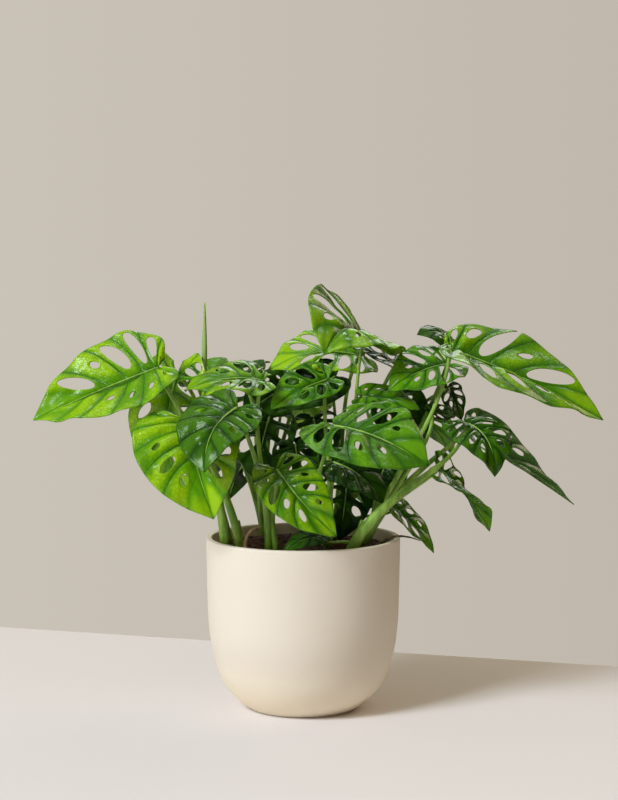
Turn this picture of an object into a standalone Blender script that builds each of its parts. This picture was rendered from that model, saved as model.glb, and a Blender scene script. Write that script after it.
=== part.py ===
"""Monstera adansonii in its cream pot: pot, soil, stems with their petioles, a rolled new leaf and leaf blades.

The origin is the centre of the pot's foot, +Z is up and the viewer stands at -Y.
Lengths in the tables are millimetres; every mesh is made in metres.
"""

import math
import random

import bmesh
import bpy
from mathutils import Vector

MM = 0.001

# Pot: a straight-sided cup with a round bottom
RIM_RADIUS = 75.0
POT_HEIGHT = 133.5
WALL = 4.6
RIM_EDGE = 0.9
WALL_CURVE = ((74.7, 112.0), (73.9, 76.0), (72.6, 58.0), (70.6, 46.0))  # radius, height
BOTTOM_ARC_RADIUS = 52.7
BOTTOM_ARC_CENTRE = (16.6, 47.2)
BOTTOM_ARC_TOP = -12.3  # degrees below straight out
FLOOR = 9.0
POT_STEPS = 36
ARC_POINTS = 5

# Soil
SOIL_DEPTH_BELOW_RIM = 13.0
SOIL_CROWN = 4.0
SOIL_STEPS = 28
CLEARANCE = 0.4

# Stems and leaves
BLADE_THICKNESS = 0.8
SEAT_GAP = 0.3
PETIOLE_RADIUS = 1.7
PETIOLE_POINTS = 6
STEM_DEPTH = 18.0

# The blade's half outline at the ends of its lateral veins, on a leaf of unit length and
# unit half width: where each vein leaves the midrib, and its end along and across the blade
VEIN_ROOT = (0.0, 0.01, 0.04, 0.12, 0.25, 0.40, 0.58, 1.0)
MARGIN_ALONG = (-0.06, -0.10, 0.05, 0.25, 0.46, 0.67, 0.85, 1.0)
MARGIN_ACROSS = (0.14, 0.55, 0.91, 1.0, 0.92, 0.70, 0.36, 0.0)
LAST_VEIN = len(VEIN_ROOT) - 1
TAPER_VEIN = 3.5  # a tapered base reaches its full width at this vein
SMALLEST_HOLE = 0.25  # a smaller relative size is a slit that the solid goes without
HOLE_WIDE, HOLE_END = 0.40, 0.22  # half width of the largest hole, in strips, at its middle and its ends
HOLE_REACH = 0.36  # and half its length, in half blades
HOLE_MIDDLE = 0.53
STALK_LEAN = 0.35  # how far a petiole leaves its stem towards its leaf
STALK_RISE = 0.45
STALK_NECK = 0.28
STALK_FOOT, STALK_END, STALK_TIP = 1.25, 0.80, 0.85  # petiole thickness along its length

LEAF_GREEN = (0.10, 0.30, 0.03, 1.0)
YOUNG_GREEN = (0.24, 0.46, 0.05, 1.0)
DARK_GREEN = (0.03, 0.12, 0.03, 1.0)
STEM_GREEN = (0.22, 0.38, 0.10, 1.0)
CREAM = (0.78, 0.69, 0.56, 1.0)
SOIL_BROWN = (0.045, 0.028, 0.018, 1.0)

# Stems: foot in the soil (x, y), head (x, y, z) and radius
STEMS = {
    "stem_left": dict(foot=(-58, -8), head=(-61, -10, 150), radius=3.0),
    "stem_left_front": dict(foot=(-46, -27), head=(-49, -29, 148), radius=3.2),
    "stem_front": dict(foot=(-22, -40), head=(-26, -43, 146), radius=3.6),
    "stem_middle": dict(foot=(18, -22), head=(20, -24, 150), radius=3.4),
    "stem_right": dict(foot=(44, -12), head=(60, -12, 165), radius=4.2),
    "stem_right_front": dict(foot=(36, -38), head=(44, -40, 150), radius=3.4),
    "stem_back_left": dict(foot=(-28, 30), head=(-32, 34, 160), radius=3.6),
    "stem_back_right": dict(foot=(26, 32), head=(32, 36, 160), radius=3.6),
}

# Leaf blades: the stem it grows from, the midrib's base and tip, the way its face looks, its
# full width, then optional form. arch and sweep are shares of the length; fold and curl bend
# each half up from the midrib and back at the margin; twist turns the tip against the base;
# slim narrows the tip and taper the base; petiole, neck and bend shape the stalk.
# holes: relative size of the hole in each strip between veins, base to tip, right half then left.
LEAVES = {
    "leaf_left_large": dict(
        stem="stem_left_front", base=(-110, -12, 266), tip=(-205, -24, 226), bend=(4, -15, 0),
        face=(-0.1, -0.65, 0.76), width=80, arch=0.02, fold=(20, 22), tint="young",
        holes=((0.8, 0.9, 0.8, 0.2, 0.85), (0.16, 0.2, 0.18, 0.14, 0.0))),
    "leaf_left_hanging_back": dict(
        stem="stem_left", base=(-98, 14, 260), tip=(-88, 30, 150),
        face=(-0.55, -0.8, 0.0), width=72, arch=0.18, fold=(15, 15), tint="young",
        holes=((0.3, 0.5, 0.4, 0.2, 0.2), (0.9, 0.95, 0.4, 0.3, 0.5))),
    "leaf_left_hanging_front": dict(
        stem="stem_left", base=(-89, -42, 229), tip=(-66, -72, 157),
        face=(-0.16, -0.92, 0.35), width=86, arch=0.10, fold=(22, 26), curl=0.2, tint="young",
        holes=((0.0, 0.0, 0.2, 0.4, 0.3), (0.2, 0.24, 0.2, 0.7, 0.5))),
    "leaf_left_dark": dict(
        stem="stem_front", base=(-48, -70, 241), tip=(-71, -106, 196), bend=(10, 0, 0),
        face=(-0.25, -0.68, 0.7), width=64, arch=0.10, sweep=0.10, fold=(8, 14),
        holes=((0.0, 0.2, 0.3, 0.0, 0.0), (0.0, 0.3, 0.0, 0.2, 0.0))),
    "leaf_left_top": dict(
        stem="stem_front", base=(-29, -28, 257), tip=(-89, -34, 249),
        face=(0.0, -0.35, 0.94), width=50, arch=0.10, fold=(12, 5), wave=0.06,
        holes=((0.7, 0.8, 0.5), (0.5, 0.7, 0.4))),
    "leaf_left_upright": dict(
        stem="stem_left", base=(-84, 28, 248), tip=(-62, 56, 268),
        face=(-0.2, -0.45, 0.85), width=44, arch=0.05, fold=(15, 15)),
    "leaf_middle_left_small": dict(
        stem="stem_back_left", base=(-47, 14, 250), tip=(-31, 34, 268),
        face=(-0.3, -0.4, 0.85), width=30, arch=0.05, fold=(20, 20), tint="dark"),
    "leaf_top": dict(
        stem="stem_back_right", base=(48, 20, 284), tip=(16, -38, 277), bend=(4, -4, 0), petiole=0.8,
        face=(0.0, -0.15, 0.99), width=90, arch=0.22, fold=(46, -10), curl=0.1, tint="young",
        holes=((0.2, 0.3, 0.95, 0.9, 0.3), (0.2, 0.3, 0.5, 0.24, 0.2))),
    "leaf_back_light": dict(
        stem="stem_back_right", base=(46, 48, 270), tip=(-28, 30, 259),
        face=(0.0, -0.48, 0.88), width=66, arch=0.14, fold=(8, 10), tint="young",
        holes=((0.8, 0.9, 0.95, 0.9, 0.6), (0.7, 0.9, 0.95, 0.8, 0.6))),
    "leaf_middle_low_tip": dict(
        stem="stem_middle", base=(20, -2, 256), tip=(-25, -22, 234),
        face=(-0.3, -0.75, 0.6), width=42, arch=0.08, fold=(20, 20),
        holes=((0.7, 0.9, 0.6), (0.8, 0.7, 0.5))),
    "leaf_middle_dark_top": dict(
        stem="stem_back_right", base=(74, 26, 264), tip=(34, 40, 278),
        face=(0.0, -0.1, 1.0), width=36, arch=0.08, fold=(10, 10), tint="dark"),
    "leaf_right_glossy": dict(
        stem="stem_right", base=(113, 8, 267), tip=(65, -10, 247),
        face=(-0.1, -0.72, 0.68), width=52, arch=0.12, fold=(10, 20), twist=-15,
        holes=((0.7, 0.95, 0.5, 0.9, 0.3), (0.4, 0.9, 0.95, 0.5, 0.3))),
    "leaf_right_large": dict(
        stem="stem_right", base=(110, -18, 281), tip=(228, -24, 226), bend=(9, -10, 0), slim=0.25, taper=0.55,
        face=(0.25, -0.70, 0.66), width=84, arch=0.04, fold=(34, 16), twist=20, tint="young",
        holes=((0.24, 0.2, 0.5, 0.5, 0.24), (0.7, 0.5, 0.95, 0.2, 0.95))),
    "leaf_right_dark_lobes": dict(
        stem="stem_back_right", base=(113, 20, 248), tip=(123, 16, 222),
        face=(0.75, -0.6, 0.3), width=30, fold=(10, 10), tint="dark"),
    "leaf_right_long_tip": dict(
        stem="stem_right", base=(128, 22, 216), tip=(213, 30, 154), slim=0.6, taper=0.4,
        face=(0.45, -0.35, 0.80), width=62, arch=0.0, fold=(15, 15), curl=-0.3, twist=-30, tint="dark",
        holes=((0.6, 0.9, 0.8, 0.4, 0.0), (0.5, 0.7, 0.7, 0.3, 0.0))),
    "leaf_right_arched": dict(
        stem="stem_right_front", base=(123, -12, 224), tip=(145, -34, 184), bend=(0, -8, 0), petiole=0.75,
        face=(0.50, -0.72, 0.48), width=54, arch=0.26, fold=(12, 15), curl=0.7,
        holes=((0.5, 0.7, 0.8, 0.6, 0.4), (0.6, 0.7, 0.8, 0.6, 0.4))),
    "leaf_right_underside": dict(
        stem="stem_right", base=(98, 4, 229), tip=(117, -5, 227),
        face=(0.1, 0.5, 0.85), width=32, arch=0.10, fold=(10, 10), tint="dark"),
    "leaf_right_curled": dict(
        stem="stem_right", base=(104, 2, 187), tip=(145, 8, 136), petiole=0.9,
        face=(0.60, 0.1, 0.70), width=46, arch=0.06, fold=(15, 15), twist=-70,
        holes=((0.6, 0.9, 0.5, 0.3, 0.2), (0.5, 0.95, 0.5, 0.3, 0.3))),
    "leaf_right_low": dict(
        stem="stem_back_right", base=(71, 30, 152), tip=(103, 33, 115), petiole=0.7,
        face=(0.75, -0.30, 0.60), width=34, arch=0.05, fold=(10, 20),
        holes=((0.24, 0.8, 0.7), (0.24, 0.5, 0.3))),
    "leaf_middle_front": dict(
        stem="stem_middle", base=(22, -48, 225), tip=(93, -76, 197), bend=(-18, -8, 0), neck=0.34, petiole=0.9,
        face=(0.20, -0.68, 0.70), width=84, arch=0.14, sweep=0.04, fold=(15, 12), curl=0.4, twist=20,
        holes=((0.5, 0.6, 0.7, 0.24, 0.3), (0.24, 0.3, 0.9, 0.6, 0.2))),
    "leaf_middle_under_front": dict(
        stem="stem_middle", base=(22, -18, 194), tip=(61, -26, 161),
        face=(0.30, -0.50, 0.80), width=50, arch=0.15, fold=(15, 15), curl=0.5, tint="dark",
        holes=((0.2, 0.24, 0.3, 0.2, 0.2), (0.2, 0.5, 0.3, 0.2, 0.0))),
    "leaf_middle_ribbed": dict(
        stem="stem_back_left", base=(-6, -4, 206), tip=(0, -16, 168), neck=0.12,
        face=(-0.2, -0.9, 0.4), width=38, arch=0.10, fold=(18, 18), tint="dark"),
    "leaf_front_low": dict(
        stem="stem_front", base=(-20, -60, 194), tip=(25, -78, 145),
        face=(0.25, -0.93, 0.20), width=50, arch=0.08, sweep=0.05, fold=(20, 8),
        holes=((0.3, 0.24, 0.7, 0.3, 0.4), (0.6, 0.8, 0.24, 0.5, 0.2))),
    "leaf_middle_upright_dark": dict(
        stem="stem_back_right", base=(34, 12, 174), tip=(28, 0, 130),
        face=(0.1, -0.95, 0.3), width=42, arch=0.12, fold=(12, 12), tint="dark"),
    "leaf_inner_left": dict(
        stem="stem_back_left", base=(-26, 14, 226), tip=(-37, 3, 176),
        face=(-0.1, -0.9, 0.4), width=50, arch=0.12, fold=(15, 15), tint="dark"),
    "leaf_inner_middle": dict(
        stem="stem_back_left", base=(8, 18, 224), tip=(14, 8, 186),
        face=(0.05, -0.85, 0.5), width=40, arch=0.15, fold=(12, 12), curl=0.5, tint="dark"),
    "leaf_right_small_curled": dict(
        stem="stem_back_right", base=(116, 27, 285), tip=(88, 12, 289), petiole=0.7,
        face=(0.0, -0.55, 0.85), width=32, arch=0.15, fold=(5, 5), curl=0.9, tint="dark",
        holes=((0.2, 0.24, 0.2), (0.2, 0.24, 0.2))),
    "leaf_right_dark_long": dict(
        stem="stem_right", base=(44, 0, 242), tip=(90, -6, 232), petiole=0.8,
        face=(-0.1, -0.60, 0.80), width=28, arch=0.10, fold=(14, 14),
        holes=((0.0, 0.2, 0.0), (0.2, 0.24, 0.0))),
    "leaf_inner_high": dict(
        stem="stem_back_right", base=(26, 26, 256), tip=(-16, 18, 230), petiole=0.8,
        face=(-0.1, -0.80, 0.60), width=44, arch=0.10, fold=(14, 14), tint="dark",
        holes=((0.2, 0.24, 0.2), (0.24, 0.2, 0.0))),
    "leaf_inner_top_left": dict(
        stem="stem_back_left", base=(-12, 44, 246), tip=(-48, 40, 222), petiole=0.8,
        face=(-0.1, -0.85, 0.50), width=42, arch=0.10, fold=(14, 14), tint="dark",
        holes=((0.2, 0.2, 0.2), (0.24, 0.2, 0.0))),
    "leaf_inner_right": dict(
        stem="stem_back_right", base=(66, 24, 238), tip=(97, 22, 204), petiole=0.8,
        face=(0.1, -0.90, 0.40), width=46, arch=0.10, fold=(14, 14), tint="dark",
        holes=((0.2, 0.24, 0.2), (0.24, 0.2, 0.0))),
    "leaf_inner_low_right": dict(
        stem="stem_back_right", base=(66, 22, 190), tip=(50, 18, 152), petiole=0.8,
        face=(0.0, -0.90, 0.40), width=40, arch=0.10, fold=(14, 14), tint="dark",
        holes=((0.2, 0.2, 0.2), (0.2, 0.24, 0.0))),
    "leaf_front_soil": dict(
        stem="stem_right_front", base=(15, -48, 141), tip=(-15, -54, 130), petiole=0.7, neck=0.45,
        face=(0.0, -0.50, 0.85), width=22, arch=0.12, fold=(12, 12), tint="dark",
        holes=((0.0, 0.2, 0.0), (0.2, 0.0, 0.0))),
    "leaf_back_left_long": dict(
        stem="stem_back_left", base=(-62, 66, 232), tip=(-112, 118, 186),
        face=(-0.35, 0.45, 0.82), width=66, arch=0.10, fold=(16, 16),
        holes=((0.5, 0.8, 0.9, 0.7, 0.5), (0.5, 0.8, 0.8, 0.7, 0.4))),
    "leaf_back_middle_long": dict(
        stem="stem_back_left", base=(-8, 74, 244), tip=(2, 148, 196),
        face=(0.05, 0.55, 0.84), width=68, arch=0.10, fold=(16, 16), tint="young",
        holes=((0.5, 0.8, 0.9, 0.7, 0.5), (0.5, 0.9, 0.8, 0.6, 0.4))),
    "leaf_back_right_long": dict(
        stem="stem_back_right", base=(66, 62, 230), tip=(122, 112, 184),
        face=(0.40, 0.40, 0.82), width=62, arch=0.10, fold=(16, 16),
        holes=((0.5, 0.7, 0.9, 0.7, 0.5), (0.5, 0.8, 0.9, 0.7, 0.4))),
    "leaf_back_left_low": dict(
        stem="stem_back_left", base=(-44, 74, 186), tip=(-62, 112, 146),
        face=(-0.25, 0.75, 0.60), width=44, arch=0.10, fold=(16, 16), tint="dark"),
    "leaf_back_right_low": dict(
        stem="stem_back_right", base=(34, 80, 182), tip=(50, 116, 142),
        face=(0.25, 0.80, 0.55), width=46, arch=0.10, fold=(16, 16)),
    "leaf_back_top": dict(
        stem="stem_back_left", base=(-40, 56, 262), tip=(-70, 92, 244),
        face=(-0.20, 0.15, 0.95), width=44, arch=0.08, fold=(14, 14)),
}

# The newest leaf, still rolled: a spike on its own petiole
NEW_LEAF = dict(stem="stem_left", base=(-77, 11, 238), tip=(-76, 11, 314), radius=2.2)


def unit(vector):
    return Vector(vector).normalized()


def spline_value(knots, t):
    """A smooth curve through evenly spaced knots, read at t knots from the first."""
    last = len(knots) - 1
    i = min(int(t), last - 1)
    f = t - i
    b, c = knots[i], knots[i + 1]
    a = knots[i - 1] if i else 2 * b - c
    d = knots[i + 2] if i + 2 <= last else 2 * c - b
    return 0.5 * (2 * b + (c - a) * f + (2 * a - 5 * b + 4 * c - d) * f**2 + (3 * b - a - 3 * c + d) * f**3)


class Blade:
    """One leaf's shape: where a point of the flat blade lies in space, in millimetres."""

    def __init__(self, base, tip, face, width, arch=0.0, sweep=0.0, fold=(15, 15), curl=0.3,
                 twist=0.0, wave=0.0, slim=0.0, taper=0.0):
        self.base = Vector(base)
        along = Vector(tip) - self.base
        self.length = along.length
        self.along = along.normalized()
        face = unit(face)
        self.up = (face - face.dot(self.along) * self.along).normalized()
        self.side = self.along.cross(self.up)
        self.half = width / 2
        self.arch = arch
        self.sweep = sweep
        self.fold = [math.radians(angle) for angle in fold]
        self.curl = curl / self.half + 1e-9
        self.twist = math.radians(twist)
        self.wave = wave
        self.slim = slim
        self.taper = taper

    def midrib(self, x):
        """Point, upward and sideways directions of the midrib at x, from 0 at the base to 1."""
        bow = 4 * x * (1 - x) * self.length
        point = self.base + self.along * x * self.length + self.up * self.arch * bow + self.side * self.sweep * bow
        slope = 4 * (1 - 2 * x)
        tangent = (self.along + self.up * self.arch * slope + self.side * self.sweep * slope).normalized()
        up = (self.up - self.up.dot(tangent) * tangent).normalized()
        side = tangent.cross(up)
        angle = self.twist * (x - 0.5)
        return (
            point,
            up * math.cos(angle) + side * math.sin(angle),
            side * math.cos(angle) - up * math.sin(angle),
        )

    def point(self, t, v):
        """t counts lateral veins from the base; v runs along a vein, 0 on the midrib, 1 or -1 at the margin."""
        root = spline_value(VEIN_ROOT, t)
        end_x = spline_value(MARGIN_ALONG, t)
        end_y = spline_value(MARGIN_ACROSS, t) * (1 - self.slim * max(end_x, 0))
        end_y *= 1 - self.taper * max(0, 1 - t / TAPER_VEIN)
        if end_x < 0:
            end_x *= 1 - self.taper
        a = abs(v)
        x = (1 - a) ** 2 * root + 2 * a * (1 - a) * (root + 0.3 * (end_x - root)) + a * a * end_x
        across = (2 * a * (1 - a) * 0.62 * end_y + a * a * end_y) * self.half
        middle, up, side = self.midrib(x)
        fold = self.fold[0 if v > 0 else 1]
        lateral = (math.sin(fold) - math.sin(fold - self.curl * across)) / self.curl
        height = (math.cos(fold - self.curl * across) - math.cos(fold)) / self.curl
        height += self.wave * self.half * a * a * math.sin(2.1 * t + (1.5 if v > 0 else 0))
        return middle + side * math.copysign(lateral, v) + up * height

    def seat(self):
        """Where the petiole ends under the blade's base, and the direction it arrives in."""
        middle, up, _ = self.midrib(PETIOLE_RADIUS / self.length)
        return middle - up * (BLADE_THICKNESS / 2 + SEAT_GAP + 0.2), up


def material(name, colour, roughness, metallic=0.0):
    made = bpy.data.materials.new(name)
    made.use_nodes = True
    made.diffuse_color = colour
    shader = made.node_tree.nodes["Principled BSDF"]
    shader.inputs["Base Color"].default_value = colour
    shader.inputs["Roughness"].default_value = roughness
    shader.inputs["Metallic"].default_value = metallic
    return made


def mesh_object(name, mesh, collection, finish=None):
    obj = bpy.data.objects.new(name, mesh)
    collection.objects.link(obj)
    if finish:
        mesh.materials.append(finish)
    return obj


def turned(name, profile, steps, collection, finish=None):
    """A solid turned round Z from (radius, height) points that start and end on the axis and run down outside."""
    mesh = bpy.data.meshes.new(name)
    bm = bmesh.new()
    points = [bm.verts.new((radius * MM, 0, height * MM)) for radius, height in profile]
    for a, b in zip(points, points[1:]):
        bm.edges.new((a, b))
    bm.to_mesh(mesh)
    bm.free()
    obj = mesh_object(name, mesh, collection, finish)
    screw = obj.modifiers.new("Turn", "SCREW")
    screw.steps = screw.render_steps = steps
    screw.use_merge_vertices = True
    screw.merge_threshold = 1e-5
    return obj


def arc(centre, radius, start, end, count):
    """Points of a circle's arc in the profile plane, angles in degrees from straight out."""
    angles = [math.radians(start + (end - start) * i / (count - 1)) for i in range(count)]
    return [(centre[0] + radius * math.cos(a), centre[1] + radius * math.sin(a)) for a in angles]


def bottom_arc(offset, height):
    """The round bottom of the pot, moved in from the outside by offset, down to a height."""
    radius = BOTTOM_ARC_RADIUS - offset
    end = -math.degrees(math.asin((BOTTOM_ARC_CENTRE[1] - height) / radius))
    return arc(BOTTOM_ARC_CENTRE, radius, BOTTOM_ARC_TOP, end, ARC_POINTS)


def wall_curve(offset):
    return [(radius - offset, height) for radius, height in WALL_CURVE]


def build_pot(collection, finish):
    profile = [
        (0.0, FLOOR),
        *reversed(bottom_arc(WALL, FLOOR)),
        *reversed(wall_curve(WALL)),
        (RIM_RADIUS - WALL, POT_HEIGHT - RIM_EDGE),
        (RIM_RADIUS - WALL + RIM_EDGE, POT_HEIGHT),
        (RIM_RADIUS - RIM_EDGE, POT_HEIGHT),
        (RIM_RADIUS, POT_HEIGHT - RIM_EDGE),
        *wall_curve(0),
        *bottom_arc(0, 0.0),
        (0.0, 0.0),
    ]
    return turned("pot", profile, POT_STEPS, collection, finish)


def soil_height(radius):
    """Height of the soil's surface at a distance from the pot's axis."""
    return POT_HEIGHT - SOIL_DEPTH_BELOW_RIM + SOIL_CROWN * (1 - (radius / RIM_RADIUS) ** 2)


def build_soil(collection, cutters, finish):
    inset = WALL + CLEARANCE
    edge_radius = WALL_CURVE[0][0] - inset
    top = [(radius, soil_height(radius)) for radius in (0.0, 34.0, edge_radius)]
    wall = [
        *wall_curve(inset)[1:],
        *bottom_arc(inset, FLOOR + CLEARANCE),
        (0.0, FLOOR + CLEARANCE),
    ]
    soil = turned("soil", top + wall, SOIL_STEPS, collection, finish)
    for name, stem in STEMS.items():
        hole = stem_cylinder(f"hole_{name}", stem, stem["radius"] + CLEARANCE, STEM_DEPTH + CLEARANCE, cutters)
        hole.hide_render = True
        hole.display_type = "WIRE"
        cut = soil.modifiers.new(name, "BOOLEAN")
        cut.operation = "DIFFERENCE"
        cut.object = hole
    return soil


def stem_line(stem):
    """A stem's head and the direction it grows in; it is straight down into the soil."""
    head = Vector(stem["head"])
    x, y = stem["foot"]
    foot = Vector((x, y, soil_height(math.hypot(x, y))))
    return foot, head, (head - foot).normalized()


def tube(name, points, radii, collection, finish=None, resolution=1):
    """A closed tapering tube along points, made from a bevelled curve."""
    curve = bpy.data.curves.new(name, "CURVE")
    curve.dimensions = "3D"
    curve.bevel_depth = MM
    curve.bevel_resolution = resolution
    curve.use_fill_caps = True
    spline = curve.splines.new("POLY")
    spline.points.add(len(points) - 1)
    for spot, place, radius in zip(spline.points, points, radii):
        spot.co = (*(Vector(place) * MM), 1)
        spot.radius = radius
    guide = bpy.data.objects.new(name + "_guide", curve)
    bpy.context.scene.collection.objects.link(guide)
    graph = bpy.context.evaluated_depsgraph_get()
    mesh = bpy.data.meshes.new_from_object(guide.evaluated_get(graph))
    bpy.data.objects.remove(guide)
    bm = bmesh.new()
    bm.from_mesh(mesh)
    bmesh.ops.remove_doubles(bm, verts=bm.verts[:], dist=1e-6)
    bmesh.ops.recalc_face_normals(bm, faces=bm.faces[:])
    bm.to_mesh(mesh)
    bm.free()
    mesh.name = name
    mesh.materials.clear()
    mesh.shade_smooth()
    return mesh_object(name, mesh, collection, finish)


def stem_cylinder(name, stem, radius, depth, collection):
    foot, head, direction = stem_line(stem)
    return tube(name, [foot - direction * depth, foot + direction * 30], [radius, radius], collection, resolution=2)


def bezier(a, b, c, d, count):
    points = []
    for i in range(count):
        f = i / (count - 1)
        points.append(a * (1 - f) ** 3 + b * 3 * f * (1 - f) ** 2 + c * 3 * f * f * (1 - f) + d * f**3)
    return points


def petiole_points(stem, leaf, blade):
    """From inside the stem, up and over to the seat under the blade's base."""
    foot, head, direction = stem_line(stem)
    start = foot.lerp(head, 0.7)
    end, arrive = blade.seat()
    span = (end - start).length
    leave = unit(direction + STALK_LEAN * (end - start).normalized())
    via = Vector(leaf.get("bend", (0, 0, 0)))
    return bezier(
        start,
        start + leave * STALK_RISE * span + via,
        end - arrive * leaf.get("neck", STALK_NECK) * span + via,
        end,
        PETIOLE_POINTS,
    )


def build_stem(name, stem, leaves, collection, helpers, finish):
    """A short stem with the petioles that grow from it, joined into one solid."""
    foot, head, direction = stem_line(stem)
    radius = stem["radius"]
    stock = tube(name, [foot - direction * STEM_DEPTH, foot, head], [radius, radius, radius * 0.8], collection, finish, 2)
    branches = bpy.data.collections.new(name + "_petioles")
    helpers.children.link(branches)
    for leaf_name, leaf in leaves.items():
        if leaf["stem"] != name:
            continue
        points = petiole_points(stem, leaf, blade_of(leaf))
        thick = leaf.get("petiole", 1.0) * PETIOLE_RADIUS
        thinning = (STALK_FOOT - STALK_END) / (len(points) - 1)
        radii = [thick * (STALK_FOOT - thinning * i) for i in range(len(points))]
        radii[-1] = thick * STALK_TIP
        tube(leaf_name + "_petiole", points, radii, branches)
    if NEW_LEAF["stem"] == name:
        end = Vector(NEW_LEAF["base"])
        end.z -= SEAT_GAP
        points = bezier(foot.lerp(head, 0.8), head + direction * 30, end - Vector((0, 0, 30)), end, PETIOLE_POINTS)
        tube("new_leaf_petiole", points, [PETIOLE_RADIUS] * len(points), branches)
    if branches.objects:
        join = stock.modifiers.new("Join", "BOOLEAN")
        join.operation = "UNION"
        join.operand_type = "COLLECTION"
        join.collection = branches
        graph = bpy.context.evaluated_depsgraph_get()
        joined = bpy.data.meshes.new_from_object(stock.evaluated_get(graph))
        stock.modifiers.clear()
        stock.data = joined
        for branch in list(branches.objects):
            bpy.data.objects.remove(branch)
    bpy.data.collections.remove(branches)
    return stock


def blade_of(leaf):
    form = ("base", "tip", "face", "width", "arch", "sweep", "fold", "curl", "twist", "wave", "slim", "taper")
    return Blade(**{key: leaf[key] for key in form if key in leaf})


def flat_blade(strips, holes):
    """A grid of veins (x) and steps along them (y), with a hole in each strip that has one."""
    bm = bmesh.new()
    bmesh.ops.create_grid(bm, x_segments=strips, y_segments=4, size=1)
    for vert in bm.verts:
        vert.co.x = (vert.co.x + 1) / 2 * strips
    for side, sizes in zip((1, -1), holes):
        for strip, size in enumerate(sizes, start=1):
            if size < SMALLEST_HOLE:
                continue
            block = [
                face
                for face in bm.faces
                if int(face.calc_center_median().x) == strip and face.calc_center_median().y * side > 0
            ]
            bmesh.ops.inset_region(bm, faces=block, thickness=0.15, use_boundary=True, use_even_offset=True)
            centre = Vector((strip + 0.5, HOLE_MIDDLE * side, 0))
            for vert in {vert for face in block for vert in face.verts}:
                at = vert.co - centre
                middle = abs(vert.co.y * side - 0.5) < 0.05
                vert.co.x = centre.x + math.copysign((HOLE_WIDE if middle else HOLE_END) * size**0.5, at.x)
                vert.co.y = centre.y + (0.0 if middle else math.copysign(HOLE_REACH * size, at.y))
            bmesh.ops.delete(bm, geom=block, context="FACES")
    return bm


def build_leaf(name, leaf, collection, finishes):
    blade = blade_of(leaf)
    holes = leaf.get("holes") or seeded_holes(name)
    strips = len(holes[0]) + 2
    bm = flat_blade(strips, holes)
    for vert in bm.verts:
        vert.co = blade.point(vert.co.x / strips * LAST_VEIN, vert.co.y) * MM
    bmesh.ops.remove_doubles(bm, verts=bm.verts[:], dist=1e-6)
    bmesh.ops.triangulate(bm, faces=bm.faces[:])
    mesh = bpy.data.meshes.new(name)
    bm.to_mesh(mesh)
    bm.free()
    mesh.shade_smooth()
    obj = mesh_object(name, mesh, collection, finishes[leaf.get("tint", "green")])
    wall = obj.modifiers.new("Thickness", "SOLIDIFY")
    wall.thickness = BLADE_THICKNESS * MM
    wall.offset = 0
    return obj


def build_new_leaf(collection, finish):
    base, tip = Vector(NEW_LEAF["base"]), Vector(NEW_LEAF["tip"])
    points = [base.lerp(tip, share) for share in (0, 0.25, 0.6, 0.9, 1)]
    radii = [NEW_LEAF["radius"] * share for share in (0.8, 1, 0.95, 0.6, 0.2)]
    return tube("new_leaf_rolled", points, radii, collection, finish)


def seeded_holes(name):
    draw = random.Random(name)
    return [[round(draw.uniform(0.45, 0.9), 2) for _ in range(3)] for _ in range(2)]


def main():
    for obj in list(bpy.data.objects):
        bpy.data.objects.remove(obj)
    plant = bpy.data.collections.new("monstera_adansonii")
    cutters = bpy.data.collections.new("cutters")
    for made in (plant, cutters):
        bpy.context.scene.collection.children.link(made)
    green = material("leaf_green", LEAF_GREEN, 0.35)
    finishes = {
        "green": green,
        "young": material("young_leaf_green", YOUNG_GREEN, 0.35),
        "dark": material("dark_leaf_green", DARK_GREEN, 0.35),
    }
    stem_finish = material("stem_green", STEM_GREEN, 0.45)
    build_pot(plant, material("cream_glaze", CREAM, 0.6))
    build_soil(plant, cutters, material("potting_soil", SOIL_BROWN, 0.95))
    for name, stem in STEMS.items():
        build_stem(name, stem, LEAVES, plant, cutters, stem_finish)
    for name, leaf in LEAVES.items():
        build_leaf(name, leaf, plant, finishes)
    build_new_leaf(plant, stem_finish)


main()
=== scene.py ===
import math
import random

import bmesh
import bpy
from mathutils import Matrix, Vector, noise


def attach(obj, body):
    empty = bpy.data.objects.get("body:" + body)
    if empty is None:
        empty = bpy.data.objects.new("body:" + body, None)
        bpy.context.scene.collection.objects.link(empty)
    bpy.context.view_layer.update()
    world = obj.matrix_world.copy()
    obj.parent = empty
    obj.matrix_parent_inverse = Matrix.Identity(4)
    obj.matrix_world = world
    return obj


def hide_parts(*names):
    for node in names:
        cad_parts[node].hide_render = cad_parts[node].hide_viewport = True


mm = 0.001
noise.seed_set(1)  # so that every run gives the same holes
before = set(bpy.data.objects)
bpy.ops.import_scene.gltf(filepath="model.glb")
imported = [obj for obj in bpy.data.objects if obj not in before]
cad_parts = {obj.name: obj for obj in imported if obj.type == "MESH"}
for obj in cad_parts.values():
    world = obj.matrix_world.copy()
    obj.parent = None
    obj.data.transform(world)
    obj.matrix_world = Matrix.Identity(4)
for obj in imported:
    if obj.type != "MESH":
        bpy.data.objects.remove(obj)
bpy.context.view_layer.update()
print("frame loaded:", len(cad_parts), "solids")


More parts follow.
